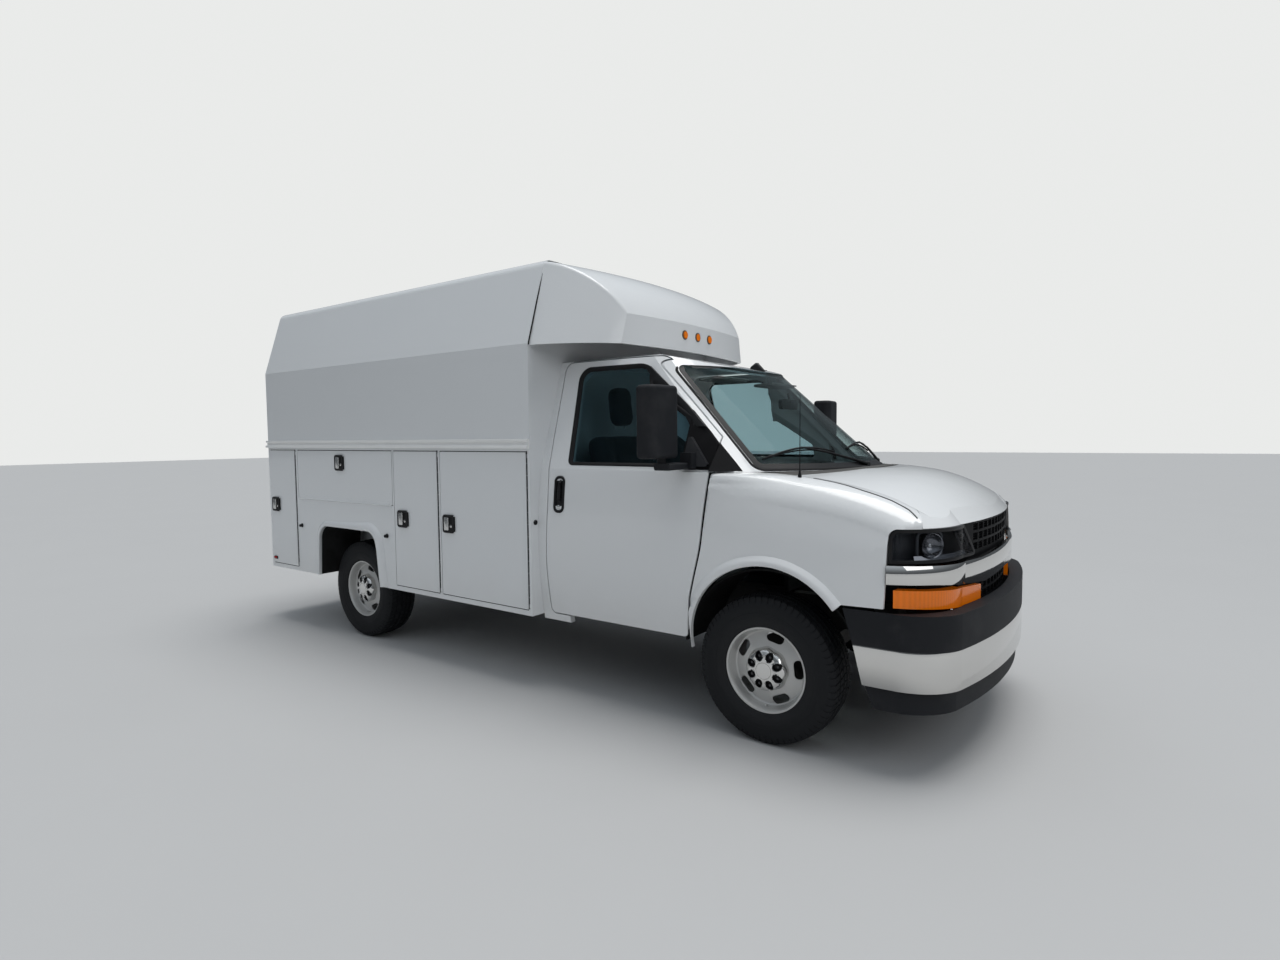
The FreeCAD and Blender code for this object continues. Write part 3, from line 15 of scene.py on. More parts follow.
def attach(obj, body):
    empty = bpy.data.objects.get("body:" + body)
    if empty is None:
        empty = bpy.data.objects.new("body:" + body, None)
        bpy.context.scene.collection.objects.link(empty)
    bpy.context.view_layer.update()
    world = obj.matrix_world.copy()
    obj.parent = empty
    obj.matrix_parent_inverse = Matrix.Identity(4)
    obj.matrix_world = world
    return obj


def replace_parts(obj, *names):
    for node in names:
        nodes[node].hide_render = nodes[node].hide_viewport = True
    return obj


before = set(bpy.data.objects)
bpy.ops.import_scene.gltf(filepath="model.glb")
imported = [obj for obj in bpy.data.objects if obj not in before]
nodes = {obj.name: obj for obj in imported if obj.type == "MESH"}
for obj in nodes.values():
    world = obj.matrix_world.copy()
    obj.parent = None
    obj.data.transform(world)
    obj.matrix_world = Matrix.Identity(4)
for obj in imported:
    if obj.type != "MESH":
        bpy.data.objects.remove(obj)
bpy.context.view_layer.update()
SIDES = {"left": 1, "right": -1}
FRONT_AXLE = 1.9465
REAR_AXLE = -1.5845
WHEEL_Y = 0.841
OUTSIDE = 1.4
print("frame loaded with", len(nodes), "nodes")


# %% [markdown]
# ## Shader maths
# Real paint and rubber are never one flat value, so the materials mix noises and masks. Linking Math nodes
# by hand is slow to read. One small class wraps a socket, and an expression such as 1 - mask adds the nodes.

# %% A socket that understands arithmetic
class Wire:
    def __init__(self, tree, socket):
        self.tree = tree
        self.socket = socket

    def math(self, operation, *values):
        return node(self.tree, "ShaderNodeMath", {"operation": operation}, dict(enumerate(values)))

    def __add__(self, other):
        return self.math("ADD", self, other)

    def __radd__(self, other):
        return self.math("ADD", other, self)

    def __sub__(self, other):
        return self.math("SUBTRACT", self, other)

    def __rsub__(self, other):
        return self.math("SUBTRACT", other, self)

    def __mul__(self, other):
        return self.math("MULTIPLY", self, other)

    def __rmul__(self, other):
        return self.math("MULTIPLY", other, self)

    def __truediv__(self, other):
        return self.math("DIVIDE", self, other)

    def __rtruediv__(self, other):
        return self.math("DIVIDE", other, self)

    def __pow__(self, other):
        return self.math("POWER", self, other)

    def __rpow__(self, other):
        return self.math("POWER", other, self)

    def sine(self):
        return self.math("SINE", self)

    def output(self, name):
        return Wire(self.tree, self.socket.node.outputs[name])

    def ramp(self, low, high):
        inputs = {"Value": self, "From Min": low, "From Max": high}
        return node(self.tree, "ShaderNodeMapRange", {"interpolation_type": "SMOOTHSTEP"}, inputs)


# %% Any node in one call: its type, its settings, then the values or links of its sockets
def node(tree, kind, settings=None, inputs=None, output=0):
    made = tree.nodes.new(kind)
    for name, value in (settings or {}).items():
        setattr(made, name, value)
    for name, value in (inputs or {}).items():
        if isinstance(value, Wire):
            tree.links.new(value.socket, made.inputs[name])
        else:
            made.inputs[name].default_value = value
    return Wire(tree, made.outputs[output]) if made.outputs else made


# %% [markdown]
# ## One recipe for every finish
# A finish is a Principled BSDF whose colour, roughness and bump vary with noise in the object's own space.
# The space is the van's, in metres, so a grain of 2 mm is the same on every panel and stays on a door
# that opens.

# %% The recipe
def rgba(color):
    return (*color, 1.0) if len(color) == 3 else tuple(color)


class Finish:
    def __init__(self, name):
        self.material = bpy.data.materials.new(name)
        self.material.use_nodes = True
        self.tree = self.material.node_tree
        self.shader = self.tree.nodes["Principled BSDF"]
        self.place = node(self.tree, "ShaderNodeTexCoord", output="Object")
        split = node(self.tree, "ShaderNodeSeparateXYZ", {}, {0: self.place})
        self.x, self.y, self.z = [split.output(i) for i in range(3)]

    def noise(self, scale, detail=3.0):
        inputs = {"Vector": self.place, "Scale": scale, "Detail": detail, "Roughness": 0.55}
        return node(self.tree, "ShaderNodeTexNoise", {}, inputs)

    def cells(self, scale):
        return node(self.tree, "ShaderNodeTexVoronoi", {}, {"Vector": self.place, "Scale": scale})

    def mix(self, factor, first, second):
        inputs = {0: factor, 6: first if isinstance(first, Wire) else rgba(first),
                  7: second if isinstance(second, Wire) else rgba(second)}
        return node(self.tree, "ShaderNodeMix", {"data_type": "RGBA"}, inputs, 2)

    def put(self, **values):
        for name, value in values.items():
            socket = self.shader.inputs[name.replace("_", " ")]
            if isinstance(value, Wire):
                self.tree.links.new(value.socket, socket)
            else:
                socket.default_value = value
        return self

    def bump(self, height, strength, distance):
        inputs = {"Height": height, "Strength": strength, "Distance": distance}
        return self.put(Normal=node(self.tree, "ShaderNodeBump", {}, inputs))


# %% [markdown]
# ## White gloss
# Cab and body are painted the same white, and the cap is gelcoat. Under the clear coat there is a faint
# orange peel, which breaks up reflections. Low on the panels a thin film of road dust greys the white.

# %% Painted panels
ROAD_DUST = (0.50, 0.46, 0.40)
DUST_FULL, DUST_GONE = 0.30, 0.85


def gloss_paint(name, color, peel=0.0006, dust=0.5):
    f = Finish(name)
    cloud = f.noise(1.3)
    film = (1.0 - f.z.ramp(DUST_FULL, DUST_GONE)) * f.noise(5.0, 5.0) * dust
    tone = f.mix(cloud * 0.35, color, [c * 0.965 for c in color])
    tone = f.mix(film * 0.6, tone, ROAD_DUST)
    f.put(Base_Color=tone, Roughness=0.22 + f.noise(22.0) * 0.05)
    f.put(Coat_Weight=0.55, Coat_Roughness=0.04, Metallic=0.0)
    return f.bump(f.noise(260.0, 1.0), 0.06, peel).material


WHITE = (0.80, 0.815, 0.825)
body_paint = gloss_paint("body_white", WHITE)
cab_paint = gloss_paint("cab_white", (0.81, 0.82, 0.825), peel=0.0004)
cap_gelcoat = gloss_paint("cap_white", (0.80, 0.812, 0.82), peel=0.0012, dust=0.0)
print("white gloss made")


# %% [markdown]
# ## Black mouldings, frame paint and rubber
# Bumper pad and mirrors are grained black plastic, and the cowl is a faded grey one. The frame is satin
# black with dust on it. All need a fine bump, since bare black without grain looks like a hole.

# %% Plastics and rubbers
def grained(name, color, roughness=0.55, grain=900.0, depth=0.0004, wear=0.3, grey=(0.05, 0.05, 0.052),
            shine=0.25):
    f = Finish(name)
    f.put(Specular_IOR_Level=shine)
    patch = f.noise(6.0, 5.0)
    f.put(Base_Color=f.mix(patch.ramp(0.45, 0.75) * wear, color, grey))
    f.put(Roughness=roughness + patch * 0.15, Metallic=0.0)
    return f.bump(f.cells(grain), 0.35, depth).material


black_plastic = grained("black_moulding", (0.011, 0.012, 0.015))
trim_black = grained("satin_black_trim", (0.008, 0.008, 0.009), roughness=0.32, wear=0.1)
cowl_plastic = grained("cowl_grey", (0.085, 0.083, 0.078), roughness=0.6, wear=0.4,
                       grey=(0.12, 0.115, 0.105))
grille_plastic = grained("grille_black", (0.006, 0.006, 0.007), roughness=0.5, wear=0.1, shine=0.12)
liner_felt = grained("liner_felt", (0.010, 0.010, 0.010), roughness=0.85, grain=300.0, depth=0.001)
wheel_rim_plastic = grained("steering_wheel_grain", (0.022, 0.022, 0.024), roughness=0.5, grain=1400.0)
dash_plastic = grained("dash_grey", (0.13, 0.135, 0.145), roughness=0.6, grain=1200.0, wear=0.1,
                       grey=(0.17, 0.17, 0.18))
tank_plastic = grained("tank_moulding", (0.018, 0.018, 0.018), roughness=0.5)
seal_rubber = grained("seal_rubber", (0.010, 0.010, 0.011), roughness=0.62, grain=600.0, wear=0.15)
frame_paint = grained("frame_paint", (0.016, 0.016, 0.016), roughness=0.55, grain=120.0, depth=0.0006,
                      wear=0.6, grey=(0.10, 0.085, 0.07))
cabin_mat = grained("cabin_mat", (0.020, 0.020, 0.021), roughness=0.9, grain=220.0, depth=0.002)
step_paint = grained("step_paint", (0.014, 0.014, 0.014), roughness=0.5, grain=260.0, depth=0.0008)
print("plastics and rubbers made")


# %% [markdown]
# ## Metals
# The bumper strip and the bar in the grille are chromium plate, the wheels silver paint over steel, and the
# drip rail a plain aluminium extrusion. The engine and the knuckles are castings with a coarse skin.

# %% Chrome, silver and castings
def metal(name, color, roughness, metallic=1.0, skin=0.0, scale=60.0, haze=0.08, coat=0.0):
    f = Finish(name)
    cloud = f.noise(9.0, 4.0)
    f.put(Base_Color=f.mix(cloud * 0.3, color, [c * 0.86 for c in color]))
    f.put(Roughness=roughness + cloud * haze, Metallic=metallic, Coat_Weight=coat, Coat_Roughness=0.08)
    if skin:
        f.bump(f.noise(scale, 6.0), 0.5, skin)
    return f.material


def rolled_chrome(name, middle, half, depth):
    # A pressed strip has a rounded face: the bump tilts its upper edge up and its lower edge down.
    f = Finish(name)
    rise = (f.z - middle) / half
    tone = f.mix(f.noise(9.0, 4.0) * 0.3, (0.74, 0.73, 0.71), (0.64, 0.63, 0.61))
    f.put(Base_Color=tone, Roughness=0.06, Metallic=1.0)
    return f.bump(1.0 - rise * rise, 1.0, depth).material


chrome = metal("chrome_plate", (0.70, 0.695, 0.68), 0.05, haze=0.03)
bar_chrome = rolled_chrome("bar_chrome", 0.952, 0.045, 0.010)
bumper_chrome = rolled_chrome("bumper_chrome", 0.575, 0.095, 0.020)
wheel_silver = metal("wheel_silver", (0.60, 0.595, 0.58), 0.36, metallic=0.45, coat=0.25)
rail_metal = metal("rail_aluminium", (0.93, 0.93, 0.92), 0.25, metallic=0.12, haze=0.12)
steel_bright = metal("paddle_steel", (0.66, 0.66, 0.65), 0.22)
pipe_steel = metal("pipe_steel", (0.32, 0.29, 0.26), 0.5, skin=0.001, scale=40.0, haze=0.25)
engine_iron = metal("engine_casting", (0.10, 0.10, 0.10), 0.62, metallic=0.6, skin=0.002)
knuckle_iron = metal("knuckle_casting", (0.08, 0.075, 0.07), 0.6, metallic=0.6, skin=0.0015)
bed_paint = gloss_paint("bed_grey", (0.45, 0.46, 0.47), dust=0.3)
print("metals made")


# %% [markdown]
# ## Glass and lenses
# The windshield is clear with a faint green-blue tint and the side glass is a little darker. A thin sheet
# needs no refraction, so the glass mixes a see-through shader and a gloss, weighed by the angle of view.

# %% Thin glass and coloured lenses
def thin_glass(name, tint, body, gloss=0.02):
    f = Finish(name)
    clear = node(f.tree, "ShaderNodeBsdfTransparent", {}, {"Color": rgba(tint)})
    f.put(Base_Color=rgba(body), Roughness=gloss, Metallic=0.0, Specular_IOR_Level=0.5)
    facing = node(f.tree, "ShaderNodeLayerWeight", {}, {"Blend": 0.5}, 1)
    amount = facing ** 5 * 0.85 + 0.030 + f.noise(4.0) * 0.01
    glossy = Wire(f.tree, f.shader.outputs[0])
    mixed = node(f.tree, "ShaderNodeMixShader", {}, {0: amount, 1: clear, 2: glossy})
    f.tree.links.new(mixed.socket, f.tree.nodes["Material Output"].inputs["Surface"])
    return f.material


def lens(name, color, glow):
    f = Finish(name)
    ribs = (f.y * 420.0).sine() * 0.5 + 0.5
    f.put(Base_Color=f.mix(ribs * 0.25, color, [c * 0.55 for c in color]), Roughness=0.12 + ribs * 0.05)
    f.put(Specular_IOR_Level=0.3, Coat_Weight=0.25, Coat_Roughness=0.03)
    f.put(Emission_Color=rgba(color), Emission_Strength=glow)
    return f.bump(ribs, 0.12, 0.001).material


windshield_glass = thin_glass("windshield_glass", (0.84, 0.91, 0.91), (0.02, 0.03, 0.03))
side_glass = thin_glass("side_glass", (0.58, 0.68, 0.71), (0.01, 0.015, 0.02))
amber_lens = lens("amber_lens", (0.86, 0.19, 0.002), glow=0.12)
red_lens = lens("red_lens", (0.30, 0.004, 0.005), glow=0.02)
print("glass and lenses made")


# %% [markdown]
# ## Dressing the CAD nodes
# Most CAD panels already have the right shape, so they only need their finish. Each node's slots are
# filled from one table, which keeps every node covered.

# %% Node by node
DRESS = [
    (body_paint, ("body_upper body_front_wall rear_wall side_box_left side_box_right panel_front_left "
                  "panel_front_right panel_second_left panel_second_right panel_rear_left panel_rear_right "
                  "panel_drop_left panel_drop_right rear_door_left rear_door_right")),
    (cab_paint, "cab_shell fenders hood cab_door_left cab_door_right"),
    (cap_gelcoat, "front_cap"),
    (black_plastic, "bumper_fascia mirror_left mirror_right antennas"),
    (cowl_plastic, "cowl"),
    (grille_plastic, "grille"),
    (liner_felt, "wheel_housings"),
    (dash_plastic, "dashboard seats"),
    (wheel_rim_plastic, "steering_wheel"),
    (tank_plastic, "fuel_tank"),
    (seal_rubber, "wipers tyre_front_left tyre_front_right tyre_rear_left tyre_rear_right"),
    (frame_paint, "chassis_frame front_suspension rear_axle"),
    (cabin_mat, "cab_floor"),
    (step_paint, "step_bumper"),
    (bumper_chrome, "front_bumper"),
    (bar_chrome, "grille_bar"),
    (wheel_silver, "rim_front_left rim_front_right rim_rear_left rim_rear_right"),
    (rail_metal, "drip_rails"),
    (pipe_steel, "exhaust"),
    (engine_iron, "engine_block"),
    (knuckle_iron, "knuckle_left knuckle_right"),
    (bed_paint, "body_floor"),
    (windshield_glass, "windshield"),
    (side_glass, "door_glass_left door_glass_right"),
    (amber_lens, "amber_lamps"),
    (red_lens, "tail_lamps"),
    (trim_black, "headlamps"),
]
for finish, members in DRESS:
    for member in members.split():
        slots = nodes[member].data.materials
        slots.clear()
        slots.append(finish)
dressed = sum(len(members.split()) for finish, members in DRESS)
print("dressed", dressed, "of", len(nodes), "nodes")


# %% [markdown]
# ## Tools for pieces
# Small parts are lofted from rings of points. Every piece is modelled where it sits on the van and then
# rides the body that carries it, so a latch opens with its door.

# %% Pieces: from a mesh to an object on its body
def mesh_from(name, bm, outward=True):
    if outward:
        bmesh.ops.recalc_face_normals(bm, faces=bm.faces)
    mesh = bpy.data.meshes.new(name)
    bm.to_mesh(mesh)
    bm.free()
    return mesh


def linked(name, data):
    obj = bpy.data.objects.new(name, data)
    bpy.context.scene.collection.objects.link(obj)
    return obj


def baked(obj):
    # The object's mesh with its modifiers applied.
    return bpy.data.meshes.new_from_object(obj.evaluated_get(bpy.context.evaluated_depsgraph_get()))


def settled(obj):
    # Applies the modifiers for good.
    mesh = baked(obj)
    obj.modifiers.clear()
    obj.data = mesh
    return mesh


def shown(name, mesh, finish, body, angle=35.0, place=None):
    if not mesh.materials:
        for material in finish if isinstance(finish, list) else [finish]:
            mesh.materials.append(material)
        for polygon in mesh.polygons:
            polygon.use_smooth = True
        mesh.set_sharp_from_angle(angle=math.radians(angle))
    obj = linked(name, mesh)
    if place:
        obj.matrix_world = place
    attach(obj, body)
    return obj


def piece(name, bm, finish, body, angle):
    return shown(name, mesh_from(name, bm), finish, body, angle)


# %% Lofts
def loft(bm, rings, closed=True, capped=False, wrapped=False, material=0):
    rows = [[bm.verts.new(p) for p in ring] for ring in rings]
    pairs = list(zip(rows, rows[1:])) + ([(rows[-1], rows[0])] if wrapped else [])
    for low, high in pairs:
        count = len(low)
        for i in range(count if closed else count - 1):
            j = (i + 1) % count
            bm.faces.new((low[i], low[j], high[j], high[i])).material_index = material
    if capped:
        bm.faces.new(rows[0][::-1]).material_index = material
        bm.faces.new(rows[-1]).material_index = material
    return rows


# %% A rounded outline
def rounded(width, height, radius, steps=5):
    points = []
    for corner in range(4):
        cx = (width / 2 - radius) * (1, -1, -1, 1)[corner]
        cy = (height / 2 - radius) * (1, 1, -1, -1)[corner]
        for step in range(steps + 1):
            turn = math.radians(90 * (corner + step / steps))
            points.append((cx + radius * math.cos(turn), cy + radius * math.sin(turn)))
    return points


# %% Rounded plates and flat rings
LEAST_RADIUS = 0.0006


def stepped(bm, size, radius, place, steps, **how):
    # Rounded outlines at (inset, depth) steps, lofted together.
    rings = []
    for inset, depth in steps:
        outline = rounded(size[0] - 2 * inset, size[1] - 2 * inset, max(radius - inset, LEAST_RADIUS))
        rings.append([place(u, v, depth) for u, v in outline])
    loft(bm, rings, **how)


def plate(bm, size, radius, place, low, high, edge=0.002, material=0):
    steps = ((0, low), (0, high - edge), (0.3 * edge, high - 0.3 * edge), (edge, high))
    stepped(bm, size, radius, place, steps, capped=True, material=material)


def ring_plate(bm, size, radius, band, place, low, high, edge=0.0015, material=0):
    steps = ((0, low), (0, high - edge), (edge, high), (band - edge, high), (band, high - edge), (band, low))
    stepped(bm, size, radius, place, steps, material=material)


# %% Tubes and turned shapes
def tube(bm, path, radius, sides=10, capped=True, closed=False, material=0):
    up = Vector((0, 0, 1))
    rings = []
    count = len(path)
    for i, point in enumerate(path):
        after = path[(i + 1) % count] if closed else path[min(i + 1, count - 1)]
        before = path[i - 1] if closed or i else path[0]
        along = (Vector(after) - Vector(before)).normalized()
        side = along.cross(up if abs(along.z) < 0.95 else Vector((1, 0, 0))).normalized()
        rise = side.cross(along)
        size = radius[i] if isinstance(radius, list) else radius
        turns = [2 * math.pi * k / sides for k in range(sides)]
        rings.append([Vector(point) + side * size * math.cos(t) + rise * size * math.sin(t) for t in turns])
    loft(bm, rings, capped=capped and not closed, wrapped=closed, material=material)


def lathe(bm, profile, place, steps=48, capped=False, material=0):
    rings = []
    for offset, radius in profile:
        turns = [2 * math.pi * k / steps for k in range(steps)]
        rings.append([place(radius * math.cos(t), radius * math.sin(t), offset) for t in turns])
    loft(bm, rings, capped=capped, material=material)


# %% Places: which way a small part faces
def on_side(x, z, side, y):
    return lambda u, v, depth: Vector((x + u, side * (y + depth), z + v))


def on_rear(y, z, x):
    return lambda u, v, depth: Vector((x - depth, y + u, z + v))


def on_front(y, z, x):
    return lambda u, v, depth: Vector((x + depth, y + u, z + v))


def upright(foot):
    return lambda u, v, height: foot + Vector((u, v, height))


def standing(x, y, z):
    return lambda u, v, height: Vector((x + u, y + v, z + height))


def shifted(place, across, up):
    return lambda u, v, depth: place(u + across, v + up, depth)


def ahead(distance):
    return FRONT_AXLE + distance


# %% A curve as a table of points
def read_table(table, value):
    for (low, first), (high, second) in zip(table, table[1:]):
        if value <= high:
            return first + (second - first) * max(0.0, value - low) / (high - low)
    return table[-1][1]


# %% Reading a CAD surface: its outline, and where a ray meets it
FORWARD, BACKWARD, UP, DOWN = [Vector(way) for way in ((1, 0, 0), (-1, 0, 0), (0, 0, 1), (0, 0, -1))]
LONGEST_LOOP = 5000


def face_loop(name, facing, least, spacing=0.012, pick=None):
    bm = bmesh.new()
    bm.from_mesh(nodes[name].data)
    bmesh.ops.remove_doubles(bm, verts=bm.verts, dist=1e-5)
    bm.normal_update()
    chosen = {f for f in bm.faces if f.normal.dot(facing) > least}
    if pick:
        chosen = {f for f in chosen if pick(f.calc_center_median())}
    links = {}
    for edge in bm.edges:
        if sum(face in chosen for face in edge.link_faces) == 1:
            for vert, other in (edge.verts, reversed(edge.verts)):
                links.setdefault(vert, []).append(other)
    loops = []
    while links:
        start = next(iter(links))
        path = [start]
        while len(path) <= LONGEST_LOOP:
            options = [v for v in links.get(path[-1], []) if v in links and v is not start]
            following = next((v for v in options if v not in path[-2:]), None)
            if following is None:
                break
            path.append(following)
        for vert in path:
            links.pop(vert, None)
        loops.append([v.co.copy() for v in path])
    longest = max(loops, key=lambda loop: sum((b - a).length for a, b in zip(loop, loop[1:])))
    bm.free()
    return resample(longest, spacing)


def resample(loop, spacing):
    lengths = [0.0]
    for a, b in zip(loop, loop[1:] + loop[:1]):
        lengths.append(lengths[-1] + (b - a).length)
    count = max(8, int(lengths[-1] / spacing))
    points = []
    index = 0
    for k in range(count):
        want = lengths[-1] * k / count
        while lengths[index + 1] < want:
            index += 1
        share = (want - lengths[index]) / max(lengths[index + 1] - lengths[index], 1e-9)
        points.append(loop[index].lerp(loop[(index + 1) % len(loop)], share))
    return points


# %% Surfaces that a ray can hit, and a moulding laid on one
def tree_of_mesh(mesh, facing=None, least=0.3):
    faces = [list(p.vertices) for p in mesh.polygons if facing is None or p.normal.dot(facing) > least]
    return BVHTree.FromPolygons([v.co.copy() for v in mesh.vertices], faces)


def tree_of(name, *facing):
    return tree_of_mesh(nodes[name].data, *facing)


def hug(tree, loop, section):
    # Rings of a moulding that follows a closed loop on a surface: (inward, outward) pairs make its section.
    centre = sum(loop, Vector()) / len(loop)
    count = len(loop)
    outs = []
    for point in loop:
        inside = point + (centre - point).normalized() * 0.012
        outs.append(tree.find_nearest(inside)[1])
    rings = []
    for i, point in enumerate(loop):
        along = (loop[(i + 1) % count] - loop[i - 1]).normalized()
        out = sum((outs[(i + k) % count] for k in range(-2, 3)), Vector()).normalized()
        inward = along.cross(out).normalized()
        if inward.dot(centre - point) < 0:
            inward = -inward
        rings.append([point + inward * a + out * b for a, b in section])
    return rings


# %% Smooth sheets fitted to a skin
def sheet_through(points):
    # Least squares for a smooth sheet, depth = a + b x + c z + d z z, and how far each point lies off it.
    table = np.array(points)
    base = np.column_stack([np.ones(len(table)), table[:, 0], table[:, 1], table[:, 1] ** 2])
    weights = np.linalg.lstsq(base, table[:, 2], rcond=None)[0]
    return weights, table[:, 2] - base @ weights


def skin_fit(tree, side, x_range, z_range, tolerance=0.004, passes=6, grid=24, fewest=20):
    # A smooth sheet through the outermost hits on the cab's side, so a step or a hole doesn't show in it.
    points = []
    for i in range(grid + 1):
        for j in range(grid + 1):
            x = x_range[0] + (x_range[1] - x_range[0]) * i / grid
            z = z_range[0] + (z_range[1] - z_range[0]) * j / grid
            hit = tree.ray_cast(Vector((ahead(x), side * OUTSIDE, z)), Vector((0, -side, 0)), 0.7)[0]
            if hit:
                points.append((x - x_range[0], z - z_range[0], side * hit.y))
    for _ in range(passes):
        weights, miss = sheet_through(points)
        kept = [p for p, m in zip(points, miss) if m > -tolerance]
        if len(kept) == len(points) or len(kept) < fewest:
            break
        points = kept
    return lambda x, z: float(weights @ [1, x - x_range[0], z - z_range[0], (z - z_range[0]) ** 2])


print("piece tools ready")


# %% [markdown]
# ## Tyres with a cut tread
# A highway tyre has five ribs, cut across by narrow slots. The tread is one grid wrapped round the wheel:
# columns follow the section from bead to bead, rows go round, and a depth comes off where a groove runs.
# One mesh serves all four wheels.

# %% Tread and side walls
TYRE_RADIUS = 0.387
TREAD_HALF = 0.1035
PITCHES = 66
PHASES = (0.0, 0.05, 0.15, 0.20, 0.60)
GROOVES = (-0.062, -0.021, 0.021, 0.062)
GROOVE_DEPTH = 0.0085
SIPE_DEPTH = 0.005
GROOVE_TOP, GROOVE_FLOOR = 0.0054, 0.0038
RIB_MIDDLE = 0.0205
SHOULDER_RIB = 0.083
TREAD_CROWN = 0.0100
CUT_FROM = 0.35
CENTRE_RIBS, CENTRE_SHARE = 0.066, 0.6
SLANT, WALL_TURN = 0.9, 0.09
WALL_SECTION = [
    (0.1040, 0.2225), (0.1120, 0.2265), (0.1160, 0.2360), (0.1168, 0.2400), (0.1190, 0.2430),
    (0.1222, 0.2600), (0.1226, 0.2740), (0.1238, 0.2760), (0.1238, 0.2980), (0.1226, 0.3000),
    (0.1225, 0.3180), (0.1192, 0.3420), (0.1142, 0.3580), (0.1085, 0.3690),
]


def tread_columns():
    columns = [(-TREAD_HALF, 0.0), (-SHOULDER_RIB, 0.0)]
    profile = ((-GROOVE_TOP, 0.0), (-GROOVE_FLOOR, GROOVE_DEPTH),
               (GROOVE_FLOOR, GROOVE_DEPTH), (GROOVE_TOP, 0.0))
    for groove in GROOVES:
        columns += [(groove + offset, depth) for offset, depth in profile]
        columns.append((groove + RIB_MIDDLE, 0.0))
    columns[-1] = (TREAD_HALF, 0.0)
    return columns


def tread_row(section, turn, slotted):
    # One row of the tread: where it is slotted, a depth comes off, less at the centre and on the shoulder.
    row = []
    for y, radius, depth, cut in section:
        slot = SIPE_DEPTH * (1.0 if abs(y) > CENTRE_RIBS else CENTRE_SHARE) if cut and slotted else 0.0
        angle = turn + (SLANT * abs(y) if cut else WALL_TURN)
        if abs(y) > TREAD_HALF:
            y -= math.copysign(0.6 * slot, y)
            slot *= 0.4
        size = radius - max(depth, slot)
        row.append(Vector((size * math.cos(angle), y, size * math.sin(angle))))
    return row


def tyre_mesh():
    walls = [(-y, r, 0.0, r > CUT_FROM) for y, r in WALL_SECTION]
    tread = [(y, TYRE_RADIUS - TREAD_CROWN * (y / TREAD_HALF) ** 2, d, True) for y, d in tread_columns()]
    section = walls + tread + [(-y, r, d, cut) for y, r, d, cut in reversed(walls)]
    rings = []
    for pitch in range(PITCHES):
        for index, phase in enumerate(PHASES):
            turn = 2 * math.pi * (pitch + phase) / PITCHES
            rings.append(tread_row(section, turn, index in (1, 2)))
    bm = bmesh.new()
    loft(bm, rings, closed=False, wrapped=True)
    return mesh_from("tyre_tread", bm)


# %% Rubber
def tyre_finish():
    f = Finish("tyre_rubber")
    radius = (f.x * f.x + f.z * f.z) ** 0.5
    band = radius.ramp(0.30, 0.24)
    ribs = node(f.tree, "ShaderNodeMath", {"operation": "ARCTAN2"}, {0: f.z, 1: f.x})
    knurl = ((ribs * 320.0).sine() * 0.5 + 0.5) * radius.ramp(0.300, 0.303) * radius.ramp(0.342, 0.338)
    dust = f.noise(9.0, 5.0)
    color = f.mix(dust * 0.5, (0.008, 0.009, 0.011), (0.020, 0.020, 0.021))
    f.put(Base_Color=f.mix(band * 0.25, color, (0.03, 0.03, 0.031)), Roughness=0.58 + dust * 0.2)
    f.put(Metallic=0.0, Specular_IOR_Level=0.25)
    return f.bump(knurl * 0.5 + f.noise(400.0, 2.0) * 0.3, 0.6, 0.0008).material


# %% Four tyres on their hubs
WHEELS = {}
for end, x in (("front", FRONT_AXLE), ("rear", REAR_AXLE)):
    for name, side in SIDES.items():
        facing = Matrix.Rotation(0 if side > 0 else math.pi, 4, "Z")
        WHEELS[end + "_" + name] = Matrix.Translation((x, side * WHEEL_Y, TYRE_RADIUS)) @ facing
shared_tyre = tyre_mesh()
shared_rubber = tyre_finish()
for wheel, place in WHEELS.items():
    tyre = shown("tread_" + wheel, shared_tyre, shared_rubber, "wheel_" + wheel, 30, place)
    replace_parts(tyre, "tyre_" + wheel)
print("tyres:", len(shared_tyre.polygons), "faces each")


# %% [markdown]
# ## Steel wheels and hub caps
# A pressed disc sits in a rolled rim, with five oval hand holes. The chrome cap has eight pockets for the
# wheel nuts and a plain disc in the middle. The disc is cut by a boolean, and a thin rolled lip follows
# each hole, since pressed steel is never sharp there.

# %% Pressed steel wheel
RIM_FACE = [
    (0.1030, 0.2225), (0.1045, 0.2215), (0.1048, 0.2180), (0.1030, 0.2130), (0.0960, 0.2085),
    (0.0780, 0.2045), (0.0600, 0.2010), (0.0490, 0.1950), (0.0450, 0.1870), (0.0470, 0.1780),
    (0.0560, 0.1500), (0.0620, 0.1280), (0.0655, 0.1100), (0.0660, 0.0300),
]
RIM_BACK = [
    (0.0600, 0.0300), (0.0600, 0.1100), (0.0565, 0.1280), (0.0500, 0.1500), (0.0410, 0.1780),
    (0.0380, 0.1880), (0.0420, 0.2000), (0.0540, 0.2080), (-0.1020, 0.2120), (-0.1040, 0.2160),
    (-0.1040, 0.2225),
]
HOLES = 5
HOLE_TURNS = [2 * math.pi * index / HOLES + math.radians(-12) for index in range(HOLES)]
HOLE_RADIUS = 0.164
HOLE_SIZE, HOLE_CORNER = (0.100, 0.050), 0.0245
LIP_RADIUS, LIP_SINK = 0.0026, 0.0008
VALVE = ((-0.196, 0.060), (-0.186, 0.092))
VALVE_RADIUS = 0.0042


def axle_place(u, v, depth):
    return Vector((u, depth, v))


def hole_outline(turn):
    points = []
    for u, v in rounded(*HOLE_SIZE, HOLE_CORNER, 8):
        points.append((u * math.cos(turn) + (HOLE_RADIUS + v) * math.sin(turn),
                       (HOLE_RADIUS + v) * math.cos(turn) - u * math.sin(turn)))
    return points


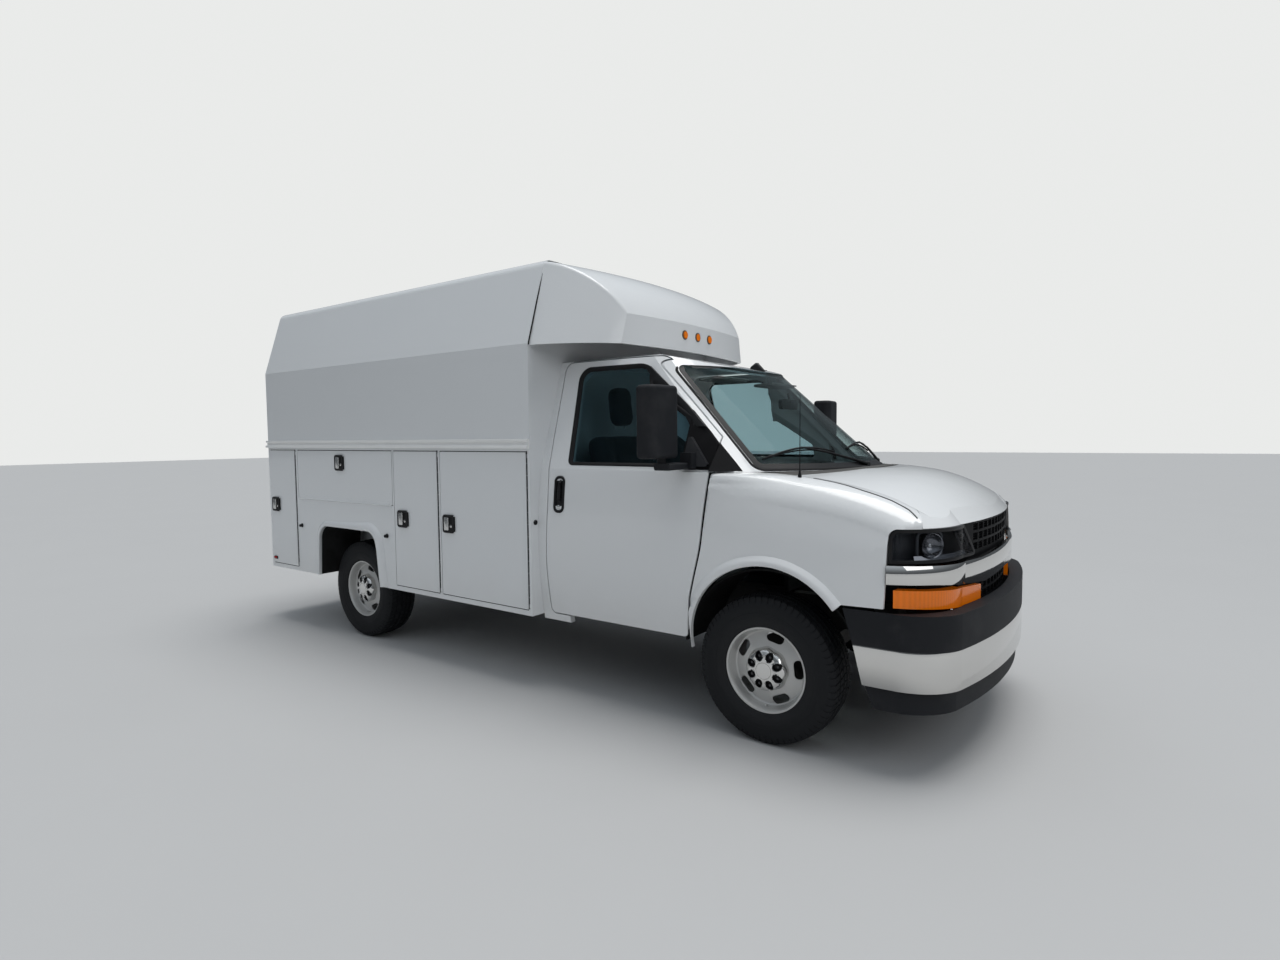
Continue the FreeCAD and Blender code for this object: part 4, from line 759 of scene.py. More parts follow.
def disc_offset(radius):
    return read_table([(r, offset) for offset, r in reversed(RIM_FACE)], radius)


# %% Disc, holes and valve
def wheel_mesh():
    bm = bmesh.new()
    lathe(bm, RIM_FACE + RIM_BACK + RIM_FACE[:1], axle_place, 96)
    bmesh.ops.remove_doubles(bm, verts=bm.verts, dist=1e-6)
    cutter = bmesh.new()
    for turn in HOLE_TURNS:
        loft(cutter, [[axle_place(u, v, d) for u, v in hole_outline(turn)] for d in (0.0, 0.12)], capped=True)
    solid = linked("wheel_disc", mesh_from("wheel_disc", bm))
    tool = linked("hole_cutter", mesh_from("hole_cutter", cutter))
    cut = solid.modifiers.new("holes", "BOOLEAN")
    cut.operation = "DIFFERENCE"
    cut.object = tool
    made = baked(solid)
    for obj in (solid, tool):
        bpy.data.objects.remove(obj)
    bm = bmesh.new()
    bm.from_mesh(made)
    for turn in HOLE_TURNS:
        path = [axle_place(u, v, disc_offset(math.hypot(u, v)) - LIP_SINK) for u, v in hole_outline(turn)]
        tube(bm, path, LIP_RADIUS, 8, closed=True)
    tube(bm, [axle_place(0.0, v, depth) for v, depth in VALVE], VALVE_RADIUS, 10, material=1)
    bm.to_mesh(made)
    bm.free()
    made.materials.clear()
    return made


# %% Hub cap with eight pockets
CAP_STEPS = 192
CAP_HEIGHTS = [
    (0.0, 0.1180), (0.020, 0.1178), (0.036, 0.1172), (0.0395, 0.1168), (0.0410, 0.1140), (0.0430, 0.1140),
    (0.0445, 0.1165), (0.060, 0.1152), (0.082, 0.1120), (0.098, 0.1060), (0.107, 0.0960), (0.112, 0.0780),
    (0.114, 0.0630),
]
CAP_RADII = ([0.004, 0.012, 0.022, 0.030, 0.036, 0.0395, 0.0410, 0.0430, 0.0445]
             + [0.048 + 0.0017 * k for k in range(31)] + [0.102, 0.105, 0.108, 0.110, 0.112, 0.114])
CAP_WAVE, WAVE_FROM = 0.022, 0.101
POCKETS = 8
POCKET_RADIUS = 0.0780
POCKET_DEPTH = 0.022
POCKET_REACH = (0.0240, 0.0180)
RIDGE_HEIGHT = 0.0012
NUT = [(0.085, 0.0085), (0.1005, 0.0082), (0.1035, 0.0062), (0.1040, 0.0002)]


def cap_spot(radius, turn):
    # A point of the cap's skin: its dome, less the nearest pocket, plus the ridge round that pocket.
    local = ((turn * POCKETS / (2 * math.pi)) % 1.0 - 0.5) * 2 * math.pi / POCKETS
    reach = math.hypot((radius - POCKET_RADIUS) / POCKET_REACH[0], local * radius / POCKET_REACH[1])
    sunk = min(max((1.12 - reach) / 0.24, 0.0), 1.0)
    ridge = RIDGE_HEIGHT * math.exp(-((reach - 1.2) / 0.14) ** 2)
    near_rim = min(max((radius - WAVE_FROM) / 0.01, 0), 1)
    wave = radius * (1 + CAP_WAVE * math.cos(POCKETS * turn) * near_rim)
    height = read_table(CAP_HEIGHTS, radius) - POCKET_DEPTH * sunk * sunk * (3 - 2 * sunk) + ridge
    return Vector((wave * math.cos(turn), height, wave * math.sin(turn)))


# %% The cap as one mesh
def hub_cap_mesh():
    bm = bmesh.new()
    turns = [2 * math.pi * step / CAP_STEPS for step in range(CAP_STEPS)]
    rows = loft(bm, [[cap_spot(radius, turn) for turn in turns] for radius in CAP_RADII])
    bm.faces.new(rows[0])
    for face in bm.faces:
        middle = face.calc_center_median()
        radius = math.hypot(middle.x, middle.z)
        deep = read_table(CAP_HEIGHTS, radius) - middle.y
        face.material_index = 1 if 0.045 < radius < 0.105 and deep > 0.35 * POCKET_DEPTH else 0
    for index in range(POCKETS):
        turn = 2 * math.pi * (index + 0.5) / POCKETS
        centre = (POCKET_RADIUS * math.cos(turn), POCKET_RADIUS * math.sin(turn))
        lathe(bm, NUT, shifted(axle_place, *centre), 6, material=2)
    return mesh_from("hub_cap", bm)


# %% Wheels and caps on their hubs
shared_wheel = wheel_mesh()
shared_cap = hub_cap_mesh()
nut_steel = metal("nut_steel", (0.10, 0.10, 0.105), 0.4)
for wheel, place in WHEELS.items():
    body = "wheel_" + wheel
    disc_finish = [wheel_silver, seal_rubber]
    disc = shown("wheel_disc_" + wheel, shared_wheel, disc_finish, body, 32, place)
    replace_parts(disc, "rim_" + wheel)
    shown("hub_cap_" + wheel, shared_cap, [chrome, trim_black, nut_steel], body, 40, place)
print("wheel disc faces", len(shared_wheel.polygons), "and hub cap faces", len(shared_cap.polygons))


# %% [markdown]
# ## Window rubbers and the black windshield border
# Glass never meets paint directly. The moulding follows the glass edge that is read off the CAD surface,
# so it stays seated if a window changes.

# %% Rubber round each pane
PANE_FACES = 0.5
SCREEN_FACING = Vector((0.75, 0, 0.66))
DOOR_RUBBER = [(-0.006, 0.0165), (-0.002, 0.0195), (0.005, 0.0190), (0.012, 0.0120), (0.019, 0.0040),
               (0.020, 0.0006), (-0.004, 0.0006)]
SCREEN_RUBBER = [(-0.015, 0.0020), (-0.009, 0.0080), (0.002, 0.0080), (0.010, 0.0030), (0.011, 0.0006),
                 (-0.013, -0.0040)]


def window_rubber(name, node_name, facing, section, body):
    loop = face_loop(node_name, facing, PANE_FACES)
    bm = bmesh.new()
    loft(bm, hug(tree_of(node_name, facing, PANE_FACES), loop, section), wrapped=True)
    piece(name, bm, seal_rubber, body, 50)


for name, side in SIDES.items():
    facing = Vector((0, side, 0))
    window_rubber("window_rubber_" + name, "door_glass_" + name, facing, DOOR_RUBBER, "door_" + name)
screen_tree = tree_of("windshield", SCREEN_FACING, PANE_FACES)
window_rubber("windshield_rubber", "windshield", SCREEN_FACING, SCREEN_RUBBER, "van")


# %% The printed border inside the rubber
BORDER_WIDTH = 0.045
BORDER_LIFT = 0.0007
BORDER_ROWS = 5
loop = face_loop("windshield", SCREEN_FACING, PANE_FACES)
border = []
for ring in hug(screen_tree, loop, [(BORDER_WIDTH * k / BORDER_ROWS, 0.0) for k in range(BORDER_ROWS + 1)]):
    nearest = [screen_tree.find_nearest(point)[:2] for point in ring]
    border.append([spot + out * BORDER_LIFT for spot, out in nearest])
bm = bmesh.new()
loft(bm, border, closed=False, wrapped=True)
piece("windshield_border", bm, trim_black, "van", 60)
print("window rubbers follow", len(SIDES) + 1, "panes")


# %% [markdown]
# ## Black corners by the mirror
# The mirror stands on a moulded triangle in the corner of the door window. A second triangle fills the
# foot of the windshield pillar behind it, and a rubber strip fills the wedge between the door glass and the
# sloping pillar. Each outline is drawn from the side and laid on a smooth sheet fitted to the CAD skin.

# %% Patches that lie on the cab's side
patch_black = grained("patch_black", (0.006, 0.006, 0.007), roughness=0.62, wear=0.1, shine=0.1)
PATCH_LIFT = 0.004
PATCH_STEPS = ((1.0, 0.030), (1.0, 0.0015), (0.985, 0.0), (0.66, 0.0), (0.33, 0.0), (0.02, 0.0))
STRIP_STEPS = ((0.0, 0.016), (0.0, 0.0015), (0.04, 0.0), (0.96, 0.0), (1.0, 0.0015), (1.0, 0.016))


def subdivided(corners, steps=8):
    # A closed outline with its edges cut into short ones, so it can bend over a curved skin.
    points = []
    for start, end in zip(corners, corners[1:] + corners[:1]):
        points += [(start[0] + (end[0] - start[0]) * k / steps, start[1] + (end[1] - start[1]) * k / steps)
                   for k in range(steps)]
    return points


def middle_of(points):
    return [sum(p[k] for p in points) / len(points) for k in (0, 1)]


def on_sheet(x, z, side, fit, sink):
    return Vector((ahead(x), side * (fit(x, z) + PATCH_LIFT - sink), z))


def side_patch(name, corners, side, fit, body):
    outline = subdivided(corners)
    centre = middle_of(outline)
    rings = []
    for share, sink in PATCH_STEPS:
        spots = [[centre[k] + (p[k] - centre[k]) * share for k in (0, 1)] for p in outline]
        rings.append([on_sheet(x, z, side, fit, sink) for x, z in spots])
    bm = bmesh.new()
    loft(bm, rings, capped=True)
    piece(name, bm, patch_black, body, 40)


def side_strip(name, side, fit, body):
    rows = []
    for start, end in zip(WEDGE_INNER, WEDGE_OUTER):
        row = []
        for share, sink in STRIP_STEPS:
            x, z = [start[k] + (end[k] - start[k]) * share for k in (0, 1)]
            row.append(on_sheet(x, z, side, fit, sink))
        rows.append(row)
    bm = bmesh.new()
    loft(bm, rows, capped=True)
    piece(name, bm, trim_black, body, 40)


# %% Their outlines, seen from the side
MIRROR_CORNER = [(-0.500, 1.406), (-0.3105, 1.406), (-0.3145, 1.450), (-0.3205, 1.550), (-0.373, 1.606),
                 (-0.413, 1.646), (-0.500, 1.733)]
PILLAR_CORNER = [(-0.3065, 1.400), (-0.170, 1.400), (-0.212, 1.444), (-0.252, 1.484), (-0.282, 1.514),
                 (-0.3165, 1.549), (-0.3155, 1.540), (-0.3095, 1.450)]
WEDGE_INNER = [(-0.500, 1.640), (-0.545, 1.700), (-0.620, 1.752), (-0.700, 1.802), (-0.785, 1.853),
               (-0.812, 1.900), (-0.812, 1.950), (-0.840, 1.988)]
WEDGE_OUTER = [(-0.402, 1.640), (-0.470, 1.700), (-0.525, 1.752), (-0.583, 1.802), (-0.642, 1.853),
               (-0.697, 1.900), (-0.752, 1.945), (-0.812, 1.998)]
for name, side in SIDES.items():
    door_tree = tree_of("cab_door_" + name)
    door_fit = skin_fit(door_tree, side, (-0.60, -0.32), (1.402, 1.78))
    side_patch("mirror_triangle_" + name, MIRROR_CORNER, side, door_fit, "door_" + name)
    wedge_fit = skin_fit(door_tree, side, (-0.86, -0.38), (1.62, 2.03))
    side_strip("quarter_rubber_" + name, side, wedge_fit, "door_" + name)
    pillar_fit = skin_fit(tree_of("cab_shell"), side, (-0.305, -0.16), (1.402, 1.62))
    side_patch("pillar_triangle_" + name, PILLAR_CORNER, side, pillar_fit, "van")
print("black corners laid on the cab")


# %% [markdown]
# ## Door handles
# The handle is a tall black pan with an upright grip in its middle and the lock below. Two rays find the
# slope of the door, and the whole handle leans with it.

# %% Cab door handles
HANDLE_SPOT = (-1.350, 1.239)
HANDLE_SPAN = 0.095
GRIP_X, GRIP_RADIUS = 0.006, 0.0115
GRIP_PATH = [(0.080, -0.006), (0.070, 0.009), (0.020, 0.0125), (-0.028, 0.010), (-0.040, -0.006)]
LOCK_DROP = -0.076
DOOR_LOCK = [(-0.004, 0.0105), (0.0045, 0.0105), (0.0060, 0.0085)]


def on_cab(x, z, side, tree):
    ends = []
    for level in (z - HANDLE_SPAN, z + HANDLE_SPAN):
        ends.append(tree.ray_cast(Vector((x, side * OUTSIDE, level)), Vector((0, -side, 0)))[0])
    rise = (ends[1] - ends[0]).normalized()
    out = Vector((0, side * rise.z, -side * rise.y))
    middle = (ends[0] + ends[1]) / 2
    return lambda u, v, depth: middle + Vector((u, 0, 0)) + rise * v + out * depth


for name, side in SIDES.items():
    place = on_cab(ahead(HANDLE_SPOT[0]), HANDLE_SPOT[1], side, tree_of("cab_door_" + name))
    bm = bmesh.new()
    ring_plate(bm, (0.086, 0.226), 0.036, 0.017, place, -0.012, 0.0080, 0.004)
    plate(bm, (0.060, 0.200), 0.026, place, -0.016, -0.0008)
    tube(bm, [place(GRIP_X, v, depth) for v, depth in GRIP_PATH], GRIP_RADIUS, 12)
    lathe(bm, DOOR_LOCK, shifted(place, 0.0, LOCK_DROP), 20, True, 1)
    piece("cab_handle_" + name, bm, [trim_black, steel_bright], "door_" + name, 40)
print("door handles fitted")


# %% [markdown]
# ## Door trim boards
# An open cab door shows a moulded grey board with an armrest, not bare metal. The board's back is read off
# the door's inner face, so it lies on it everywhere.

# %% Reading the inner face
BOARD = [(-1.330, 0.680), (-0.560, 0.680), (-0.500, 0.760), (-0.500, 1.180), (-0.560, 1.310), (-1.330, 1.310)]
BOARD_REAR, BOARD_LENGTH = -1.33, 0.83
BOARD_FOOT, BOARD_HEIGHT = 0.68, 0.63
PROBE_COLUMNS, PROBE_ROWS, PROBE_Y = 12, 8, 0.45
FACE_SPREAD = 0.03


def inner_face(name, side):
    tree = tree_of("cab_door_" + name)
    points = []
    for i in range(PROBE_COLUMNS + 1):
        for j in range(PROBE_ROWS + 1):
            x = BOARD_REAR + BOARD_LENGTH * i / PROBE_COLUMNS
            z = BOARD_FOOT + BOARD_HEIGHT * j / PROBE_ROWS
            hit = tree.ray_cast(Vector((ahead(x), side * PROBE_Y, z)), Vector((0, side, 0)), 0.8)[0]
            if hit:
                points.append((x, z, abs(hit.y)))
    table = np.array(points)
    middle = float(np.median(table[:, 2]))
    table = table[table[:, 2] < middle + FACE_SPREAD]
    weights = sheet_through(table)[0]
    print("inner face", name, "from", len(table), "points, median", round(middle, 3))
    return lambda x, z: float(weights @ [1, x, z, z * z])


# %% Boards with armrests
BOARD_EDGE, BOARD_DEPTH = 0.010, 0.014
BOARD_STEPS = ((1.0, 0.0), (1.0, BOARD_EDGE), (0.99, BOARD_DEPTH), (0.80, BOARD_DEPTH), (0.78, BOARD_EDGE),
               (0.40, BOARD_EDGE), (0.02, BOARD_EDGE))
ARM_DEPTH = 0.058
ARM_REAR, ARM_LENGTH, ARM_LEVEL, ARM_STEPS = -1.22, 0.52, 1.02, 16
ARM_END = 0.25
ARM_SINK = 0.004
ARM_SECTION = [(0.004, -0.045), (0.35, -0.040), (0.85, -0.020), (1.0, 0.006), (0.94, 0.020), (0.4, 0.026),
               (0.004, 0.028)]


def board_rings(inside, side):
    centre = middle_of(BOARD)
    rings = []
    for share, depth in BOARD_STEPS:
        spots = [[centre[k] + (p[k] - centre[k]) * share for k in (0, 1)] for p in subdivided(BOARD)]
        rings.append([Vector((ahead(x), side * (inside(x, z) - depth), z)) for x, z in spots])
    return rings


def armrest_rings(inside, side):
    rings = []
    for k in range(ARM_STEPS + 1):
        x = ARM_REAR + ARM_LENGTH * k / ARM_STEPS
        swell = math.sin(math.pi * k / ARM_STEPS) ** 0.35 if 0 < k < ARM_STEPS else ARM_END
        face = inside(x, ARM_LEVEL) - ARM_SINK
        rings.append([Vector((ahead(x), side * (face - ARM_DEPTH * out * swell), ARM_LEVEL + rise * swell))
                      for out, rise in ARM_SECTION])
    return rings


for name, side in SIDES.items():
    inside = inner_face(name, side)
    for label, rings, finish, angle in (("board", board_rings(inside, side), dash_plastic, 40),
                                        ("armrest", armrest_rings(inside, side), black_plastic, 50)):
        bm = bmesh.new()
        loft(bm, rings, capped=True)
        piece("door_" + label + "_" + name, bm, finish, "door_" + name, angle)


# %% [markdown]
# ## Compartment latches
# Each compartment door has a black pan with a bright steel paddle and a lock barrel beside it. One
# function makes them all, and each rides its own door.

# %% Pans and paddles
LATCHES = {
    "front_box_door": (-2.290, 1.005),
    "second_box_door": (-2.800, 1.008),
    "rear_box_door": (-4.600, 1.030),
    "drop_door": (-3.600, 1.402),
}
BODY_HALF = 1.075
LATCH_WIDTH, LATCH_HEIGHT = 0.118, 0.124
PAN_FLOOR, PADDLE_FOOT = 0.0088, 0.0085
BARREL_SPOT = (0.030, -0.014)
BARREL = [(0.0086, 0.0100), (0.0142, 0.0100), (0.0150, 0.0086)]


def latch(name, body, x, z, side):
    place = on_side(x, z, side, BODY_HALF)
    barrel_place = shifted(place, *BARREL_SPOT)
    bm = bmesh.new()
    ring_plate(bm, (LATCH_WIDTH, LATCH_HEIGHT), 0.020, 0.013, place, 0.0002, 0.0150, 0.003)
    plate(bm, (LATCH_WIDTH - 0.020, LATCH_HEIGHT - 0.020), 0.013, place, 0.0004, PAN_FLOOR)
    paddle, rib = shifted(place, -0.018, 0.0), shifted(place, 0.008, 0.0)
    plate(bm, (0.046, LATCH_HEIGHT - 0.034), 0.006, paddle, PADDLE_FOOT, 0.0165, 0.004, 1)
    plate(bm, (0.010, LATCH_HEIGHT - 0.044), 0.003, rib, PADDLE_FOOT, 0.0130, 0.002)
    lathe(bm, BARREL, barrel_place, 20, True, 2)
    plate(bm, (0.0022, 0.009), 0.0008, barrel_place, 0.0145, 0.0158, 0.0004)
    piece(name, bm, [trim_black, steel_bright, chrome], body, 40)


for door, (x, z) in LATCHES.items():
    for name, side in SIDES.items():
        latch("latch_" + door + "_" + name, door + "_" + name, ahead(x), z, side)
print(2 * len(LATCHES), "latches")


# %% [markdown]
# ## Edges of the body
# Dark weatherstrip shows in the joints round the doors, and hinge pins stand in their front joints. A
# rolled white lip runs round the rear wheel arch, and the well behind it is lined with black felt board,
# which ends a little inside the lip. A rubber bead seals the cap to the body.

# %% Seals in the door joints
UPRIGHT_DOORS = {"front": (-2.382, -1.548), "second": (-2.908, -2.408), "rear": (-4.688, -4.274)}
PANEL_LOW, PANEL_HIGH, DROP_LOW = 0.508, 1.502, 1.095
DROP_DOOR = (-4.238, -2.922)
SEAL_WIDTH = 0.0052


def joint_seal(name, rear, front, low, high):
    for side_name, side in SIDES.items():
        place = on_side(ahead((rear + front) / 2), (low + high) / 2, side, BODY_HALF)
        bm = bmesh.new()
        ring_plate(bm, (front - rear, high - low), 0.004, SEAL_WIDTH, place, -0.0200, -0.0040)
        piece("seal_" + name + "_" + side_name, bm, seal_rubber, "van", 40)


for name, (rear, front) in UPRIGHT_DOORS.items():
    joint_seal(name, rear, front, PANEL_LOW, PANEL_HIGH)
joint_seal("drop", *DROP_DOOR, DROP_LOW, PANEL_HIGH)
print("seals round", len(UPRIGHT_DOORS) + 1, "doors a side")

# %% Hinge pins
KNUCKLE_PITCH, KNUCKLE_GAP = 0.0760, 0.002
FIRST_KNUCKLE = 0.010
PIN_AHEAD, PIN_SINK, PIN_RADIUS = 0.006, 0.0015, 0.0052
for name, (rear, front) in UPRIGHT_DOORS.items():
    for side_name, side in SIDES.items():
        bm = bmesh.new()
        for k in range(int((PANEL_HIGH - PANEL_LOW) / KNUCKLE_PITCH)):
            low = PANEL_LOW + FIRST_KNUCKLE + k * KNUCKLE_PITCH
            ends = (low, low + KNUCKLE_PITCH - KNUCKLE_GAP)
            pin = [Vector((ahead(front + PIN_AHEAD), side * (BODY_HALF - PIN_SINK), z)) for z in ends]
            tube(bm, pin, PIN_RADIUS, 8)
        piece("hinge_pins_" + name + "_" + side_name, bm, trim_black, "van", 50)

# %% The outline of the rear wheel arch
ARCH_MIDDLE = REAR_AXLE + 0.014
ARCH_HALF, ARCH_TOP, ARCH_FOOT = 0.430, 0.890, 0.478
ARCH_KNEE = ARCH_TOP - 0.130
ARCH_CORNER, CORNER_STEPS = 0.120, 12
REAR_CORNER, FRONT_CORNER = -ARCH_HALF + 0.139, ARCH_HALF - 0.160


def arch_corner(centre, start):
    points = []
    for step in range(1, CORNER_STEPS):
        turn = math.radians(start - 90 * step / CORNER_STEPS)
        x = centre + ARCH_CORNER * math.cos(turn)
        points.append((x, ARCH_TOP - ARCH_CORNER + ARCH_CORNER * math.sin(turn)))
    return points


arch_path = [(-ARCH_HALF, ARCH_FOOT), (-ARCH_HALF + 0.019, ARCH_KNEE), *arch_corner(REAR_CORNER, 180),
             (0.0, ARCH_TOP), *arch_corner(FRONT_CORNER, 90),
             (ARCH_HALF - 0.034, ARCH_KNEE), (ARCH_HALF, ARCH_FOOT)]
print("arch outline:", len(arch_path), "points")

# %% Rear arch lips
LIP_SECTION = [(-0.002, 0.0), (-0.002, 0.010), (0.004, 0.014), (0.022, 0.013), (0.034, 0.007), (0.040, 0.0)]
LIP_FLARE, FLARE_FROM = 0.7, 0.1
LIP_SINK_IN = 0.0005


def rear_lip_ring(i, side):
    x, z = arch_path[i]
    before, after = arch_path[max(i - 1, 0)], arch_path[min(i + 1, len(arch_path) - 1)]
    dx, dz = after[0] - before[0], after[1] - before[1]
    size = math.hypot(dx, dz)
    out = (-dz / size, dx / size)
    flare = 1.0 + LIP_FLARE * max(0.0, (x + FLARE_FROM) / ARCH_HALF)
    return [Vector((ARCH_MIDDLE + x + out[0] * a * flare, side * (BODY_HALF + b * flare - LIP_SINK_IN),
                    z + out[1] * a * flare)) for a, b in LIP_SECTION]


for name, side in SIDES.items():
    bm = bmesh.new()
    loft(bm, [rear_lip_ring(i, side) for i in range(len(arch_path))], capped=True)
    piece("rear_arch_lip_" + name, bm, body_paint, "van", 40)

# %% Wheel wells
WELL_DEPTHS = (0.012, 0.030, 0.20, 0.36)
WELL_CENTRE, WELL_INSET = 0.60, 0.006
for name, side in SIDES.items():
    rings = []
    for depth in WELL_DEPTHS:
        ring = []
        for x, z in arch_path:
            inward = Vector((-x, 0, WELL_CENTRE - z)).normalized() * WELL_INSET
            ring.append(Vector((ARCH_MIDDLE + x, side * (BODY_HALF - depth), z)) + inward)
        rings.append(ring)
    bm = bmesh.new()
    loft(bm, rings, closed=False)
    piece("wheel_well_" + name, bm, liner_felt, "van", 50)

# %% The bead round the cap
FRONT_WALL = ahead(-1.518)
BEAD_RADIUS = 0.0040
CREST = [(1.069, 2.152), (1.067, 2.170), (0.990, 2.425), (0.920, 2.640), (0.880, 2.6840), (0.800, 2.6900),
         (0.0, 2.6906)]
bead = CREST + [(-y, z) for y, z in CREST[-2::-1]]
bm = bmesh.new()
tube(bm, [Vector((FRONT_WALL + 0.003, y, z)) for y, z in bead], BEAD_RADIUS, 8)
piece("cap_bead", bm, seal_rubber, "van", 50)
print("body edges done")


# %% [markdown]
# ## Small fittings of the body
# Rubber bumpers stop the drop door, a grommet sits in the front wall, and red markers stand low at the
# rear. Three lamp rings sit in the brow of the cap. All are turned or stamped shapes, so a profile or a
# rounded plate makes each.

# %% Bumpers, markers, grommets and lamp rings
lamp_ring_grey = grained("lamp_ring_grey", (0.10, 0.07, 0.04), roughness=0.4, grain=600.0, wear=0.1)
STOP = [(0.0, 0.0165), (0.004, 0.0165), (0.006, 0.0125), (0.0215, 0.0118), (0.0235, 0.0095)]
STOP_PLACES = (("rear", -4.195), ("front", -3.005))
STOP_LEVEL = 0.868
MARKER_SPOT = (-4.650, 0.556)
GROMMET = [(-0.001, 0.016), (0.004, 0.016), (0.006, 0.012), (0.006, 0.006), (0.003, 0.004)]
GROMMET_SPOT = (1.035, 1.06)
LAMP_RING = [(-0.004, 0.0315), (0.0035, 0.0310), (0.0055, 0.0285), (0.0050, 0.0235)]
LAMP_RINGS = (("right", -0.158), ("middle", 0.0), ("left", 0.158))
BROW_PROBE, LAMP_RING_LEVEL, BROW_GUESS = 2.225, 2.258, -0.965


def turned(name, profile, place, finish):
    bm = bmesh.new()
    lathe(bm, profile, place, 28, True)
    piece(name, bm, finish, "van", 40)


for name, side in SIDES.items():
    for label, x in STOP_PLACES:
        place = on_side(ahead(x), STOP_LEVEL, side, BODY_HALF)
        turned("door_stop_" + label + "_" + name, STOP, place, seal_rubber)
    place = on_side(ahead(MARKER_SPOT[0]), MARKER_SPOT[1], side, BODY_HALF)
    bm = bmesh.new()
    plate(bm, (0.050, 0.020), 0.006, place, 0.0, 0.010)
    ring_plate(bm, (0.056, 0.026), 0.008, 0.003, place, 0.0, 0.006, material=1)
    piece("side_marker_" + name, bm, [red_lens, trim_black], "rear_box_door_" + name, 40)
    place = on_front(side * GROMMET_SPOT[0], GROMMET_SPOT[1], FRONT_WALL)
    turned("grommet_" + name, GROMMET, place, seal_rubber)
cap_tree = tree_of("front_cap")
for label, y in LAMP_RINGS:
    hit = cap_tree.ray_cast(Vector((ahead(0.2), y, BROW_PROBE)), BACKWARD, 3.0)[0]
    place = on_front(y, LAMP_RING_LEVEL, hit.x if hit else ahead(BROW_GUESS))
    turned("cap_lamp_ring_" + label, LAMP_RING, place, lamp_ring_grey)
print("fittings done")


# %% [markdown]
# ## The fender shoulder
# The fender has to meet the door flush, at the same width and height, or a dark wedge shows in the seam.
# The CAD fender rounds off a little early there. Its visible copy is divided finely and its rear shoulder
# is drawn outward, fading to nothing over the wheel.

# %% Widened fender copy
SHOULDER = [(0.9, 0.000), (1.00, 0.002), (1.15, 0.008), (1.25, 0.014), (1.30, 0.018), (1.34, 0.032),
            (1.37, 0.062), (1.385, 0.084), (1.40, 0.092)]
SHOULDER_FRONT, SHOULDER_LENGTH = ahead(0.25), 0.546
SHOULDER_INNER, SHOULDER_OUTER = 0.79, 0.880
SHOULDER_FOOT, FINEST = 1.10, 0.030


def smooth(value, low, high):
    share = min(max((value - low) / (high - low), 0.0), 1.0)
    return share * share * (3 - 2 * share)


def node_copy(name):
    bm = bmesh.new()
    bm.from_mesh(nodes[name].data)
    bmesh.ops.remove_doubles(bm, verts=bm.verts, dist=1e-5)
    return bm


def divide(bm, pick, longest, passes=6):
    for _ in range(passes):
        edges = [e for e in bm.edges if e.calc_length() > longest and any(pick(v.co) for v in e.verts)]
        if not edges:
            break
        bmesh.ops.subdivide_edges(bm, edges=edges, cuts=1)
        bmesh.ops.triangulate(bm, faces=[f for f in bm.faces if len(f.verts) > 3])


bm = node_copy("fenders")
divide(bm, lambda p: p.x < SHOULDER_FRONT and p.z > SHOULDER_FOOT, FINEST)
for vert in bm.verts:
    reach = (smooth(SHOULDER_FRONT - vert.co.x, 0.0, SHOULDER_LENGTH)
             * smooth(abs(vert.co.y), SHOULDER_INNER, SHOULDER_OUTER))
    vert.co.y += math.copysign(read_table(SHOULDER, vert.co.z) * reach, vert.co.y)
fender_skins = piece("fender_skins", bm, cab_paint, "van", 34)
weigh = fender_skins.modifiers.new("even_shading", "WEIGHTED_NORMAL")
weigh.mode = "FACE_AREA"
weigh.keep_sharp = True
settled(fender_skins)
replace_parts(fender_skins, "fenders")
print("fenders meet the doors")


# %% [markdown]
# ## The hood's shut line and the arch lips
# The real hood reaches over the fender's crown before its gap starts, so the line shows from the side. A
# dark stripe painted on the fender would stay behind when the hood opens. So a thin flange carries the
# hood's edge out to that line, with a black seal along it, and both ride the hood. The pressed lip round
# the wheel opening is a ring whose height is read off the fender behind it.

# %% Hood flanges with their seals
FLANGE_INNER = [(0.10, 0.789), (0.62, 0.789), (0.68, 0.802), (0.74, 0.866)]
FLANGE_OUTER = [(0.20, 0.813), (0.30, 0.815), (0.34, 0.8175), (0.38, 0.823), (0.42, 0.830), (0.47, 0.8365),
                (0.60, 0.838), (0.62, 0.842), (0.68, 0.852), (0.71, 0.871), (0.738, 0.889)]
FLANGE_STATIONS, FLANGE_STEPS = 56, 7
FLANGE_SPAN = (0.205, 0.725)
FLANGE_LIFT, FLANGE_RISE, FLANGE_THICK = 0.0006, 0.0014, 0.005
SEAL_STEPS = ((-0.0015, 0.0012), (0.003, 0.0014), (0.0085, 0.0008))
SEAL_THICK = 0.003
ABOVE_HOOD = 1.60
hood_tree = tree_of("hood")
skin_tree = tree_of_mesh(fender_skins.data)


def crown(x, y, side):
    # The higher of hood and fender straight below a point, or below one up to 36 mm further in.
    for inset in range(0, 40, 4):
        spot = Vector((ahead(x), side * (y - inset / 1000), ABOVE_HOOD))
        drops = [tree.ray_cast(spot, DOWN, 0.50)[0] for tree in (hood_tree, skin_tree)]
        levels = [drop.z for drop in drops if drop]
        if levels:
            return max(levels)


def slab(top, thick):
    # A closed ring: a row of points, and the same row back again a little lower.
    return top + [p - Vector((0, 0, thick)) for p in reversed(top)]


